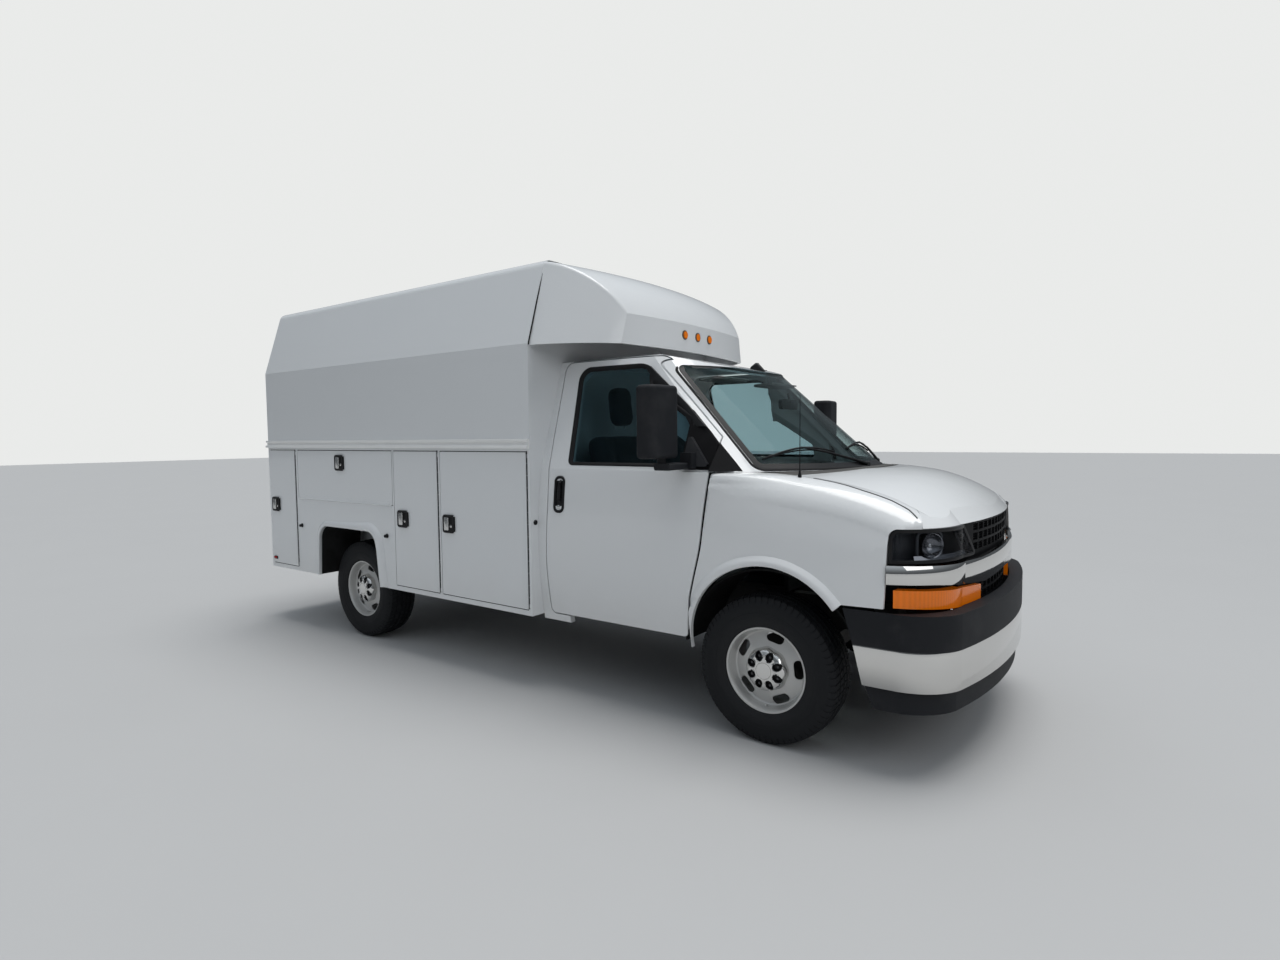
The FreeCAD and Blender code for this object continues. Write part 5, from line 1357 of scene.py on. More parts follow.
def flange_ring(x, inner, outer, side):
    ends = [crown(x, inner, side), crown(x, outer, side)]
    top = []
    for j in range(FLANGE_STEPS + 1):
        y = inner + (outer - inner) * j / FLANGE_STEPS
        level = max(ends[0] + (ends[1] - ends[0]) * j / FLANGE_STEPS, crown(x, y, side))
        top.append(Vector((ahead(x), side * y, level + FLANGE_LIFT + FLANGE_RISE * j / FLANGE_STEPS)))
    return slab(top, FLANGE_THICK)


def seal_ring(x, outer, side):
    top = [Vector((ahead(x), side * (outer + step), crown(x, outer + step, side) + lift))
           for step, lift in SEAL_STEPS]
    return slab(top, SEAL_THICK)


for name, side in SIDES.items():
    flange_rings, seal_rings = [], []
    for k in range(FLANGE_STATIONS + 1):
        x = FLANGE_SPAN[0] + (FLANGE_SPAN[1] - FLANGE_SPAN[0]) * k / FLANGE_STATIONS
        outer = read_table(FLANGE_OUTER, x)
        flange_rings.append(flange_ring(x, read_table(FLANGE_INNER, x), outer, side))
        seal_rings.append(seal_ring(x, outer, side))
    for label, rings, finish in (("flange", flange_rings, cab_paint), ("seal", seal_rings, trim_black)):
        bm = bmesh.new()
        loft(bm, rings, capped=True)
        piece("hood_" + label + "_" + name, bm, finish, "hood_body", 50)


# %% Arch lips
ARCH_CENTRE = (0.030, 0.490)
ARCH_LIP = [(0.4475, 0.000), (0.4480, 0.0050), (0.4540, 0.0085), (0.4680, 0.0085), (0.4800, 0.0040)]
LIP_FACE, LIP_ROOT, LIP_INNER = 0.461, 0.499, 0.4490
LIP_DEGREES = range(38, 181, 3)


def arch_point(radius, turn, y):
    x = ahead(ARCH_CENTRE[0] + radius * math.cos(turn))
    return Vector((x, y, ARCH_CENTRE[1] + radius * math.sin(turn)))


def arch_skin(radius, turn, side):
    hit = skin_tree.ray_cast(arch_point(radius, turn, side * 1.3), Vector((0, -side, 0)), 0.45)[0]
    return abs(hit.y) if hit else None


for name, side in SIDES.items():
    rings = []
    for degree in LIP_DEGREES:
        turn = math.radians(degree)
        face, root = arch_skin(LIP_FACE, turn, side), arch_skin(LIP_ROOT, turn, side)
        if face is None or root is None:
            continue
        section = [(r, face + rise) for r, rise in ARCH_LIP]
        section += [(LIP_ROOT, root - 0.001), (LIP_ROOT - 0.02, root - 0.008), (LIP_INNER, face - 0.010)]
        rings.append([arch_point(r, turn, side * y) for r, y in section])
    bm = bmesh.new()
    loft(bm, rings, capped=True)
    piece("arch_lip_" + name, bm, cab_paint, "van", 50)
    print("arch lip", name, len(rings), "stations")


# %% [markdown]
# ## Headlamps
# Each lamp is a clear smoked cover over a dark housing with one deep bowl and a slim fin. Cover and
# housing are cut from the CAD lamp: faces that look outward become glass, the rest the housing.

# %% Covers and housings
FLANK = (0.62, 0.78)
STEEPEST = 0.6


def split_by(name, outward):
    shells = {True: bmesh.new(), False: bmesh.new()}
    source = node_copy(name)
    for wanted, target in shells.items():
        for face in source.faces:
            centre = face.calc_center_median()
            flank = Vector((FLANK[0], math.copysign(FLANK[1], centre.y), 0.0)).normalized()
            is_out = face.normal.dot(flank) > outward and abs(face.normal.z) < STEEPEST
            if is_out == wanted:
                target.faces.new([target.verts.new(v.co) for v in face.verts])
        bmesh.ops.remove_doubles(target, verts=target.verts, dist=1e-5)
    source.free()
    outer = mesh_from("headlamp_covers", shells[True], False)
    return outer, mesh_from("headlamp_housings", shells[False], False)


cover_glass = thin_glass("headlamp_cover", (0.72, 0.74, 0.77), (0.03, 0.03, 0.035), 0.015)
housing_dark = grained("headlamp_housing", (0.075, 0.078, 0.085), roughness=0.30, wear=0.1, shine=0.5)
covers, housings = split_by("headlamps", 0.22)
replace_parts(shown("headlamp_covers", covers, cover_glass, "van"), "headlamps")
shown("headlamp_housings", housings, housing_dark, "van")
print("cover faces", len(covers.polygons), "and housing faces", len(housings.polygons))

# %% Bowls and fins
smoked_chrome = metal("smoked_chrome", (0.26, 0.26, 0.27), 0.14)
nose = tree_of("headlamps")
BOWL = [(-0.0520, 0.010), (-0.0500, 0.020), (-0.0430, 0.034), (-0.0300, 0.046), (-0.0160, 0.0535),
        (-0.0120, 0.0550), (-0.0105, 0.0580)]
BULB = [(-0.050, 0.011), (-0.030, 0.011), (-0.026, 0.008), (-0.025, 0.001)]
BOWL_SPOT = (0.842, 1.080)
FIN_FROM, FIN_SPAN, FIN_LEVEL, FIN_STEPS = 0.560, 0.350, 1.030, 12
FIN_SECTION = ((-0.018, -0.010), (0.004, -0.020), (-0.018, -0.045))


def level_out(normal):
    return Vector((normal.x, normal.y, 0)).normalized()


def nose_spot(side, y, z):
    # The lamp's own surface at a point, as a frame whose third axis points out of the nose.
    hit, normal = nose.ray_cast(Vector((ahead(1.2), side * y, z)), BACKWARD, 0.7)[:2]
    out = level_out(normal)
    along = UP.cross(out)
    return lambda u, v, depth: hit + along * u + Vector((0, 0, v)) + out * depth


for name, side in SIDES.items():
    place = nose_spot(side, *BOWL_SPOT)
    bm = bmesh.new()
    lathe(bm, BOWL, place, 40)
    lathe(bm, BULB, place, 20, True, 1)
    ring_plate(bm, (0.140, 0.132), 0.030, 0.010, place, -0.040, -0.030, material=2)
    piece("lamp_bowl_" + name, bm, [smoked_chrome, steel_bright, housing_dark], "van", 50)
    fin = []
    for k in range(FIN_STEPS + 1):
        place = nose_spot(side, FIN_FROM + FIN_SPAN * k / FIN_STEPS, FIN_LEVEL)
        fin.append([place(0, v, depth) for v, depth in FIN_SECTION])
    bm = bmesh.new()
    loft(bm, fin, capped=True)
    piece("lamp_fin_" + name, bm, smoked_chrome, "van", 50)

# %% Black edges round the lamps
LAMP_EDGE = [(0.013, 0.0012), (0.010, 0.0026), (-0.003, 0.0026), (-0.0045, -0.010), (0.004, -0.014)]
LAMP_FACES, LAMP_INNER = 0.2, 0.35
for name, side in SIDES.items():
    flank = Vector((FLANK[0], side * FLANK[1], 0.0)).normalized()
    loop = face_loop("headlamps", flank, LAMP_FACES, 0.010, lambda c: c.y * side > LAMP_INNER)
    bm = bmesh.new()
    loft(bm, hug(tree_of("headlamps", flank, LAMP_FACES), loop, LAMP_EDGE), wrapped=True)
    piece("headlamp_edge_" + name, bm, trim_black, "van", 50)

# %% A dark sheet behind the nose, so no light shows through its gaps
bar_tree = tree_of("grille_bar")
BACKING_HALF, BACKING_STEPS, BACKING_PROBE = 0.90, 40, 0.955
BACKING_DEPTH, BACKING_LEVELS = 0.076, (0.745, 0.85, 1.0, 1.145)
backing = []
for k in range(BACKING_STEPS + 1):
    y = -BACKING_HALF + 2 * BACKING_HALF * k / BACKING_STEPS
    hit, normal = bar_tree.ray_cast(Vector((ahead(1.2), y, BACKING_PROBE)), BACKWARD, 0.8)[:2]
    if hit:
        backing.append([Vector((hit.x, y, z)) - level_out(normal) * BACKING_DEPTH for z in BACKING_LEVELS])
bm = bmesh.new()
loft(bm, backing, closed=False)
piece("nose_backing", bm, liner_felt, "van", 60)
print("headlamps built")


# %% [markdown]
# ## Grille mesh
# Behind the open rows lies a fine black lattice. Its bars stand a centimetre behind the CAD grille's own
# front, which is measured by rays on the solid rows between the openings.

# %% Lattice in the openings
grille_tree = tree_of("grille")
LATTICE_ROWS = {"upper": (1.010, 1.148), "lower": (0.758, 0.848)}
SOLID_ROWS = {"upper": (1.058, 1.106), "lower": (0.803, 0.750)}
GRILLE_PROBES, PROBE_PITCH = 18, 0.025
UPRIGHTS, UPRIGHT_PITCH, UPRIGHT_DEPTH, UPRIGHT_RADIUS = 24, 0.0185, 0.012, 0.0022
ROW_PITCH, ROW_DEPTH, ROW_RADIUS = 0.0125, 0.010, 0.0018
ROW_POINTS, ROW_STEP = 11, 0.04


def grille_front(y, z):
    hit = grille_tree.ray_cast(Vector((ahead(1.2), y, z)), BACKWARD, 0.8)[0]
    return hit.x if hit else None


def grille_profile(label):
    found = []
    for k in range(-GRILLE_PROBES, GRILLE_PROBES + 1):
        y = k * PROBE_PITCH
        hits = [x for x in (grille_front(y, z) for z in SOLID_ROWS[label]) if x]
        if hits:
            found.append((y, max(hits)))
    table = np.array(found)
    weights = np.polyfit(table[:, 0] ** 2, table[:, 1], 2)
    return lambda y: float(np.polyval(weights, y * y))


bm = bmesh.new()
for label, (low, high) in LATTICE_ROWS.items():
    front = grille_profile(label)
    for k in range(-UPRIGHTS, UPRIGHTS + 1):
        y = k * UPRIGHT_PITCH
        tube(bm, [Vector((front(y) - UPRIGHT_DEPTH, y, z)) for z in (low, high)], UPRIGHT_RADIUS, 6)
    rows = int((high - low) / ROW_PITCH)
    for k in range(1, rows):
        z = low + (high - low) * k / rows
        across = [y * ROW_STEP for y in range(-ROW_POINTS, ROW_POINTS + 1)]
        tube(bm, [Vector((front(y) - ROW_DEPTH, y, z)) for y in across], ROW_RADIUS, 6)
piece("grille_lattice", bm, grille_plastic, "van", 50)
print("grille lattice done")


# %% [markdown]
# ## Mirrors
# The mirror head is a black shell; the glass is set in the pocket at its rear, with a small wide-angle
# glass below the main one, as work vans have.

# %% Mirror glasses
mirror_silver = metal("mirror_silver", (0.80, 0.82, 0.84), 0.02, haze=0.0)
MIRROR_SPOT = (1.1625, 1.661)
MIRROR_FACE = ahead(-0.560) + 0.012
PANES = ((0.208, 0.056), (0.104, -0.110))
PANE_WIDTH = 0.187
for name, side in SIDES.items():
    place = on_rear(side * MIRROR_SPOT[0], MIRROR_SPOT[1], MIRROR_FACE)
    bm = bmesh.new()
    for height, up in PANES:
        plate(bm, (PANE_WIDTH, height), 0.018, shifted(place, 0.0, up), 0.0004, 0.0060)
    piece("mirror_glass_" + name, bm, mirror_silver, "door_" + name, 40)
    bm = bmesh.new()
    ring_plate(bm, (0.194, 0.330), 0.022, 0.006, place, 0.0002, 0.0090)
    plate(bm, (0.186, 0.006), 0.002, shifted(place, 0.0, -0.052), 0.0002, 0.0086)
    piece("mirror_rim_" + name, bm, trim_black, "door_" + name, 40)
print("mirrors glazed")


# %% [markdown]
# ## Seats
# A seat is foam under a sewn cover: it bulges between its seams and creases along them. The recipe copies
# that. A box as wide as the CAD cushion is remeshed evenly, and a cloth solver blows it up while its seams
# stay pinned. The CAD seats are hidden and these take their place.

# %% The cover's cloth
def seat_fabric():
    f = Finish("seat_fabric")
    weave = (f.x * 900.0).sine() * (f.y * 900.0).sine()
    patch = f.noise(14.0, 4.0)
    tone = f.mix(patch * 0.5, (0.055, 0.057, 0.062), (0.085, 0.087, 0.092))
    f.put(Base_Color=tone, Roughness=0.85, Metallic=0.0, Sheen_Weight=0.25)
    return f.bump(weave * 0.5 + patch * 0.5, 0.4, 0.0012).material


seat_cloth = seat_fabric()

# %% A box remeshed evenly, with its seams pinned
CUSHION_STEPS = ((0.90, 0.0), (0.985, 0.16), (1.0, 0.5), (0.985, 0.84), (0.90, 1.0))
CUSHION_CORNER = 0.055
PIN_WIDTH, PINNED_FOOT = 0.012, 0.1


def cushion_box(name, size):
    # A box with its rims drawn in, so the cover has room to swell over the middle.
    width, length, height = size
    rings = []
    for share, level in CUSHION_STEPS:
        outline = rounded(width * share, length * share, CUSHION_CORNER * share, 6)
        rings.append([Vector((v, u, level * height)) for u, v in outline])
    bm = bmesh.new()
    loft(bm, rings, capped=True)
    return linked(name, mesh_from(name, bm))


def pinned_box(name, size, seams, voxel):
    obj = cushion_box(name, size)
    bpy.context.view_layer.objects.active = obj
    remesh = obj.modifiers.new("even", "REMESH")
    remesh.mode = "VOXEL"
    remesh.voxel_size = voxel
    even = settled(obj)
    height = size[2]
    held = []
    for vert in even.vertices:
        x, y, z = vert.co
        if any(seam(x, y, z / height) < PIN_WIDTH for seam in seams) or z < PINNED_FOOT * height:
            held.append(vert.index)
    obj.vertex_groups.new(name="seams").add(held, 1.0, "REPLACE")
    return obj


# %% Cushions blown up by the cloth solver
CLOTH = {"quality": 5, "mass": 0.3, "tension_stiffness": 12, "bending_stiffness": 0.6, "use_pressure": True,
         "shrink_min": -0.012, "vertex_group_mass": "seams"}
CLOTH_FRAMES = 20
FARTHEST_MOVE = 0.026


def swell(obj, pressure):
    before = np.array([v.co[:] for v in obj.data.vertices])
    cloth = obj.modifiers.new("cover", "CLOTH")
    for setting, value in CLOTH.items():
        setattr(cloth.settings, setting, value)
    cloth.settings.uniform_pressure_force = pressure
    cloth.settings.effector_weights.gravity = 0.0
    cloth.collision_settings.use_collision = False
    cloth.point_cache.frame_start = 1
    cloth.point_cache.frame_end = CLOTH_FRAMES
    for step in range(1, CLOTH_FRAMES + 1):
        bpy.context.scene.frame_set(step)
    blown = settled(obj)
    move = np.array([v.co[:] for v in blown.vertices]) - before
    distance = np.linalg.norm(move, axis=1, keepdims=True)
    move *= np.minimum(1.0, FARTHEST_MOVE / np.maximum(distance, 1e-9))
    blown.vertices.foreach_set("co", (before + move).ravel())
    bpy.context.scene.frame_set(1)


def cushion(name, size, place, seams, pressure=4.0, voxel=0.016):
    obj = pinned_box(name, size, seams, voxel)
    swell(obj, pressure)
    obj.data.materials.clear()
    obj.data.materials.append(seat_cloth)
    finer = obj.modifiers.new("finer", "SUBSURF")
    finer.levels = finer.render_levels = 1
    fine = settled(obj)
    for polygon in fine.polygons:
        polygon.use_smooth = True
    fine.transform(place)
    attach(obj, "van")
    return obj


# %% Where the seams run, and how a cushion leans
def lengthwise(offset):
    # Two seams along the seat, one on each side of its middle, on the upper face alone.
    return lambda x, y, s: abs(abs(y) - offset) + (0 if s > 0.5 else 1)


def crosswise(offset, half):
    return lambda x, y, s: abs(x - offset) + (0 if s > 0.5 and abs(y) < half else 1)


def leaning(x, z, y, degrees):
    return Matrix.Translation((ahead(x), y, z)) @ Matrix.Rotation(math.radians(degrees), 4, "Y")


# %% Box, rails, posts and hinge under the cushions
SEAT_Y = 0.420
BASE_X, BASE_FOOT, RAIL_FOOT = ahead(-0.945), 0.740, 0.722
RAIL_OFFSET, RAIL_HEIGHT = 0.170, 0.026
POST_OFFSET, POST_RADIUS = 0.055, 0.0065
POST = ((-1.325, 1.640), (-1.332, 1.730))
RECLINER_OFFSET, RECLINER_RADIUS = 0.262, 0.022
RECLINER = ((-1.200, 0.955), (-1.262, 1.035))


def seat_base(name, side):
    y = side * SEAT_Y
    bm = bmesh.new()
    plate(bm, (0.380, 0.400), 0.030, standing(BASE_X, y, BASE_FOOT), 0.0, 0.205, 0.01)
    for offset in (-POST_OFFSET, POST_OFFSET):
        tube(bm, [Vector((ahead(x), y + offset, z)) for x, z in POST], POST_RADIUS, 10, material=1)
    for offset in (-RAIL_OFFSET, RAIL_OFFSET):
        plate(bm, (0.420, 0.030), 0.006, standing(BASE_X, y + offset, RAIL_FOOT), 0.0, RAIL_HEIGHT, 0.002, 1)
    tube(bm, [Vector((ahead(x), y - side * RECLINER_OFFSET, z)) for x, z in RECLINER], RECLINER_RADIUS, 14)
    piece("seat_base_" + name, bm, [dash_plastic, steel_bright], "van", 40)


# %% Two seats
SEAT_SEAMS = [lengthwise(0.150), crosswise(0.100, 0.155)]
BACK_SEAMS = [lengthwise(0.145), crosswise(0.120, 0.150), crosswise(-0.110, 0.150)]
SEAT_SIZE, BACK_SIZE, HEAD_SIZE = (0.470, 0.490, 0.125), (0.610, 0.460, 0.110), (0.165, 0.255, 0.085)
for name, side in SIDES.items():
    y = side * SEAT_Y
    seat = cushion("seat_cushion_" + name, SEAT_SIZE, leaning(-0.930, 0.952, y, -4), SEAT_SEAMS)
    if name == "left":
        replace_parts(seat, "seats")
    cushion("seat_back_" + name, BACK_SIZE, leaning(-1.335, 1.350, y, 81), BACK_SEAMS)
    cushion("head_rest_" + name, HEAD_SIZE, leaning(-1.355, 1.780, y, 84), [], pressure=2.5, voxel=0.012)
    seat_base(name, side)
print("seats done")


# %% [markdown]
# ## Steering wheel and dashboard
# The CAD wheel is a plain ring. The visible one has a swelling grip, four spokes and a pad, and the column
# stalks stand behind it. The dashboard gets the cover over the dials, vents, a blank screen and a glove box.

# %% Steering wheel
HUB = Vector((ahead(-0.560), 0.420, 1.200))
LEAN = Vector((-0.82, 0.0, 0.57)).normalized()
ACROSS = Vector((0, 1, 0))
RISE = ACROSS.cross(LEAN).normalized()
if RISE.z < 0:
    RISE = -RISE


GRIP_RING, GRIP_STEPS = 0.182, 72
GRIP_THICK, GRIP_SWELL = 0.0138, 0.0022
SPOKE_TURNS = (12, 168, 222, 318)
SPOKE_PATH, SPOKE_RADII, SPOKE_DISH = (0.045, 0.09, 0.135, 0.176), [0.020, 0.013, 0.010, 0.012], 0.016


def wheel_point(u, v, depth=0.0):
    return HUB + ACROSS * u + RISE * v + LEAN * depth


def spoke_point(radius, turn):
    dish = -SPOKE_DISH * (1 - radius / GRIP_RING)
    return wheel_point(radius * math.cos(turn), radius * math.sin(turn), dish)


bm = bmesh.new()
turns = [2 * math.pi * k / GRIP_STEPS for k in range(GRIP_STEPS)]
grip = [wheel_point(GRIP_RING * math.cos(t), GRIP_RING * math.sin(t)) for t in turns]
tube(bm, grip, [GRIP_THICK + GRIP_SWELL * max(0.0, math.cos(2 * t)) for t in turns], 14, closed=True)
for degrees in SPOKE_TURNS:
    tube(bm, [spoke_point(radius, math.radians(degrees)) for radius in SPOKE_PATH], SPOKE_RADII, 10)
plate(bm, (0.150, 0.115), 0.040, shifted(wheel_point, 0.0, -0.004), -0.040, 0.010, 0.012)
ring_plate(bm, (0.060, 0.036), 0.017, 0.003, wheel_point, 0.009, 0.0115)
tube(bm, [wheel_point(0, 0, -0.03), wheel_point(0, 0, -0.150)], [0.038, 0.048], 20)
for way in (1, -1):
    stalk = [wheel_point(way * 0.04, 0.010, -0.075), wheel_point(way * 0.150, 0.030, -0.070)]
    tube(bm, stalk, [0.008, 0.0055], 10)
dressed_wheel = piece("steering_wheel_dressed", bm, wheel_rim_plastic, "van", 40)
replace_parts(dressed_wheel, "steering_wheel")
print("steering wheel dressed")

# %% Dashboard fittings
dash_tree = tree_of("dashboard")
screen_black = grained("blank_screen", (0.010, 0.011, 0.013), roughness=0.12, grain=50.0, depth=0.0001,
                       wear=0.0)


VENTS = (-0.720, -0.110, 0.110, 0.720)
VENT_LEVEL, VENT_SIZE, VENT_BLADES = 1.230, (0.120, 0.070), 5
CLUSTER_SPOT = (0.420, 1.245)
DIALS = ((-0.085, 0.042), (0.085, 0.042), (-0.005, 0.022))
KNOBS, KNOB_PITCH, KNOB_LEVEL = 3, 0.080, 1.035
KNOB = [(-0.004, 0.024), (0.010, 0.023), (0.022, 0.019), (0.024, 0.016)]
CONSOLE_SPOT, GLOVE_SPOT = (0.0, 1.130), (-0.440, 1.080)


def on_dash(y, z):
    hit = dash_tree.ray_cast(Vector((ahead(-0.8), y, z)), FORWARD, 0.8)[0]
    return on_rear(y, z, hit.x if hit else ahead(-0.38))


def vent(bm, y, z, size):
    place = on_dash(y, z)
    ring_plate(bm, size, 0.010, 0.007, place, -0.004, 0.009)
    plate(bm, (size[0] - 0.012, size[1] - 0.012), 0.005, place, -0.006, 0.0005, material=1)
    for k in range(VENT_BLADES):
        level = (k - 2) * (size[1] - 0.02) / VENT_BLADES
        plate(bm, (size[0] - 0.014, 0.004), 0.0015, shifted(place, 0.0, level), -0.002, 0.006, 0.0006)


bm = bmesh.new()
for y in VENTS:
    vent(bm, y, VENT_LEVEL, VENT_SIZE)
cluster = on_dash(*CLUSTER_SPOT)
ring_plate(bm, (0.330, 0.130), 0.050, 0.012, cluster, -0.010, 0.045, 0.004)
plate(bm, (0.310, 0.110), 0.045, cluster, -0.006, 0.004, material=1)
for across, size in DIALS:
    dial = [(0.004, size), (0.008, size), (0.008, size - 0.003), (0.0045, size - 0.004)]
    lathe(bm, dial, shifted(cluster, across, 0.0), 32)
console = on_dash(*CONSOLE_SPOT)
ring_plate(bm, (0.240, 0.100), 0.012, 0.006, console, -0.004, 0.008)
plate(bm, (0.226, 0.086), 0.008, console, -0.004, 0.006, material=1)
for k in range(KNOBS):
    lathe(bm, KNOB, on_dash((k - 1) * KNOB_PITCH, KNOB_LEVEL), 24, True)
glove = on_dash(*GLOVE_SPOT)
ring_plate(bm, (0.400, 0.180), 0.025, 0.003, glove, -0.003, 0.0025, 0.0008, 1)
plate(bm, (0.060, 0.018), 0.008, shifted(glove, 0.0, 0.066), -0.003, 0.008)
piece("dash_fittings", bm, [dash_plastic, screen_black], "van", 40)

# %% The cover over the dials
COVER_HALF, COVER_STEPS = 0.170, 16
COVER_BASE, COVER_RISE, COVER_WAVE = 0.060, 0.030, 0.36
COVER_SECTION = ((0.0, -0.030), (0.006, 0.040), (0.002, 0.075), (-0.006, 0.070), (-0.008, -0.030))
arc = []
for k in range(COVER_STEPS + 1):
    u = -COVER_HALF + 2 * COVER_HALF * k / COVER_STEPS
    arc.append((u, COVER_BASE + COVER_RISE * math.cos(math.pi * u / COVER_WAVE)))
bm = bmesh.new()
loft(bm, [[cluster(u, v + up, depth) for u, v in arc] for up, depth in COVER_SECTION], closed=False)
piece("dial_cover", bm, dash_plastic, "van", 60)
print("dashboard fitted")


# %% [markdown]
# ## Visors and inner mirror
# Through the windshield one sees two visors, covered in the roof lining's cloth, and the mirror on its
# stalk. A ray from inside finds the glass, so each hangs a set gap behind it.

# %% Visors
lining_cloth = grained("roof_lining", (0.20, 0.20, 0.195), roughness=0.9, grain=500.0, wear=0.1,
                       grey=(0.16, 0.16, 0.155))
screen_inner = tree_of("windshield")
ACROSS_VAN = Vector((0, 1, 0))
VISOR_Y, VISOR_TOP, VISOR_GAP, VISOR_DROP = 0.36, 1.930, 0.045, (0.130, 1.922)


def behind_screen(y, z, gap):
    hit = screen_inner.ray_cast(Vector((ahead(-1.2), y, z)), FORWARD, 1.4)[0]
    return (hit.x if hit else ahead(-0.6)) - gap


bm = bmesh.new()
for side in SIDES.values():
    top = Vector((behind_screen(side * VISOR_Y, VISOR_TOP, VISOR_GAP), side * VISOR_Y, VISOR_TOP))
    low = Vector((top.x - VISOR_DROP[0], top.y, VISOR_DROP[1]))
    down = (low - top).normalized()
    out = down.cross(ACROSS_VAN).normalized()
    plate(bm, (0.400, 0.140), 0.030,
          lambda u, v, d: top + ACROSS_VAN * u + down * (0.07 - v) + out * (d - 0.008), 0.0, 0.016, 0.005)
    tube(bm, [top + Vector((0, y, 0.004)) for y in (-0.20, 0.20)], 0.005, 8)
piece("sun_visors", bm, lining_cloth, "van", 40)

# %% Inner mirror
STALK_RADIUS = 0.007
mirror_x = behind_screen(0.0, 1.800, 0.060)
place = on_rear(0.0, 1.780, mirror_x)
bm = bmesh.new()
plate(bm, (0.240, 0.064), 0.022, place, -0.012, 0.014, 0.005)
plate(bm, (0.226, 0.050), 0.016, place, 0.012, 0.0155, 0.001, 1)
stalk = [Vector((mirror_x + 0.010, 0, 1.790)), Vector((behind_screen(0.0, 1.850, 0.004), 0, 1.850))]
tube(bm, stalk, STALK_RADIUS, 10)
piece("inner_mirror", bm, [trim_black, mirror_silver], "van", 40)
print("visors and inner mirror hung")


# %% [markdown]
# ## Rear of the body
# Tail lamps sit in black bezels with a clear reversing strip. The right door has a paddle handle like the
# side doors, the left one carries a blank number plate, and the step has raised tread bars.

# %% Tail lamp bezels
REAR_X = -2.7665
REAR_PROBE = REAR_X - 1.0
TAIL_SPOT = (0.890, 1.060)
DIVIDERS = (0.060, -0.060)
tail_tree = tree_of("tail_lamps")
reversing_lens = metal("reversing_lens", (0.80, 0.80, 0.79), 0.12, metallic=0.2)
for name, side in SIDES.items():
    hit = tail_tree.ray_cast(Vector((REAR_PROBE, side * TAIL_SPOT[0], TAIL_SPOT[1])), FORWARD, 1.5)[0]
    place = on_rear(side * TAIL_SPOT[0], TAIL_SPOT[1], hit.x if hit else REAR_X)
    bm = bmesh.new()
    ring_plate(bm, (0.152, 0.372), 0.022, 0.012, place, -0.016, 0.006)
    for level in DIVIDERS:
        plate(bm, (0.136, 0.005), 0.002, shifted(place, 0.0, level), -0.002, 0.0045)
    plate(bm, (0.128, 0.104), 0.010, place, -0.002, 0.003, material=1)
    piece("tail_bezel_" + name, bm, [trim_black, reversing_lens], "van", 40)
print("tail lamps framed")

# %% Cargo handle and blank plate
REAR_NODES = ("rear_wall", "rear_door_left", "rear_door_right")
CARGO_HANDLE = (-0.085, 1.450)
HANDLE_PROBE = -0.10
CARGO_BARREL = [(0.0155, 0.0095), (0.0195, 0.0095), (0.0205, 0.0080)]
PLATE_SPOT = (0.36, 1.02)
PLATE_BOLTS = ((-0.090, 0.058), (0.090, 0.058))
BOLT = [(0.0020, 0.006), (0.0045, 0.006), (0.0052, 0.004)]


def rear_face(y, z):
    hits = [tree_of(name).ray_cast(Vector((REAR_PROBE, y, z)), FORWARD, 1.5)[0] for name in REAR_NODES]
    return min((hit.x for hit in hits if hit), default=REAR_X)


place = on_rear(*CARGO_HANDLE, rear_face(HANDLE_PROBE, CARGO_HANDLE[1]))
bm = bmesh.new()
ring_plate(bm, (0.118, 0.150), 0.020, 0.012, place, 0.0002, 0.0130)
plate(bm, (0.100, 0.132), 0.013, place, 0.0004, 0.0088)
plate(bm, (0.050, 0.096), 0.006, place, 0.0085, 0.0160, material=1)
lathe(bm, CARGO_BARREL, place, 20, True, 2)
piece("cargo_handle", bm, [trim_black, steel_bright, chrome], "cargo_door_right", 40)

place = on_rear(*PLATE_SPOT, rear_face(*PLATE_SPOT))
bm = bmesh.new()
plate(bm, (0.306, 0.154), 0.010, place, 0.0006, 0.0022, 0.0006)
for spot in PLATE_BOLTS:
    lathe(bm, BOLT, shifted(place, *spot), 6, True, 1)
piece("blank_plate", bm, [cap_gelcoat, steel_bright], "cargo_door_left", 40)

# %% Tread bars on the step
BARS, BAR_MARGIN, BAR_INSET = 11, 0.12, 0.11
step = nodes["step_bumper"].data
step_tree = tree_of("step_bumper")
step_low = Vector([min(v.co[k] for v in step.vertices) for k in range(3)])
step_high = Vector([max(v.co[k] for v in step.vertices) for k in range(3)])
bar_x = step_low.x + BAR_INSET
bm = bmesh.new()
for k in range(BARS):
    y = step_low.y + BAR_MARGIN + (step_high.y - step_low.y - 2 * BAR_MARGIN) * k / (BARS - 1)
    hit = step_tree.ray_cast(Vector((bar_x, y, step_high.z + 0.5)), DOWN, 1.0)[0]
    if hit:
        plate(bm, (0.130, 0.110), 0.010, standing(bar_x, y, hit.z), 0.0002, 0.0035, 0.001)
piece("step_tread", bm, step_paint, "van", 40)
print("rear done, step from", [round(c, 3) for c in step_low], "to", [round(c, 3) for c in step_high])


# %% [markdown]
# ## Wipers, drip moulding and antennas
# Each wiper is a bowed frame over a rubber blade that lies on the glass, held by an arm from the cowl. A
# thin moulding over the cab door leads rain away. The roof carries a low fin and the fender a whip.

# %% Wipers
BLADE_STEPS, BLADE_BOW, BLADE_LIFT, BLADE_RADIUS = 16, 0.030, 0.006, 0.0048
FRAME_LIFT, FRAME_BOW, FRAME_RADIUS = 0.013, 0.012, 0.003
ARM_PROBE, ARM_LIFT, ARM_FOOT = 1.425, 0.045, 1.405
ARM_RADII = [0.0045, 0.0065, 0.0085, 0.011]
ARM_NUT = [(-0.012, 0.017), (0.018, 0.015), (0.024, 0.009)]


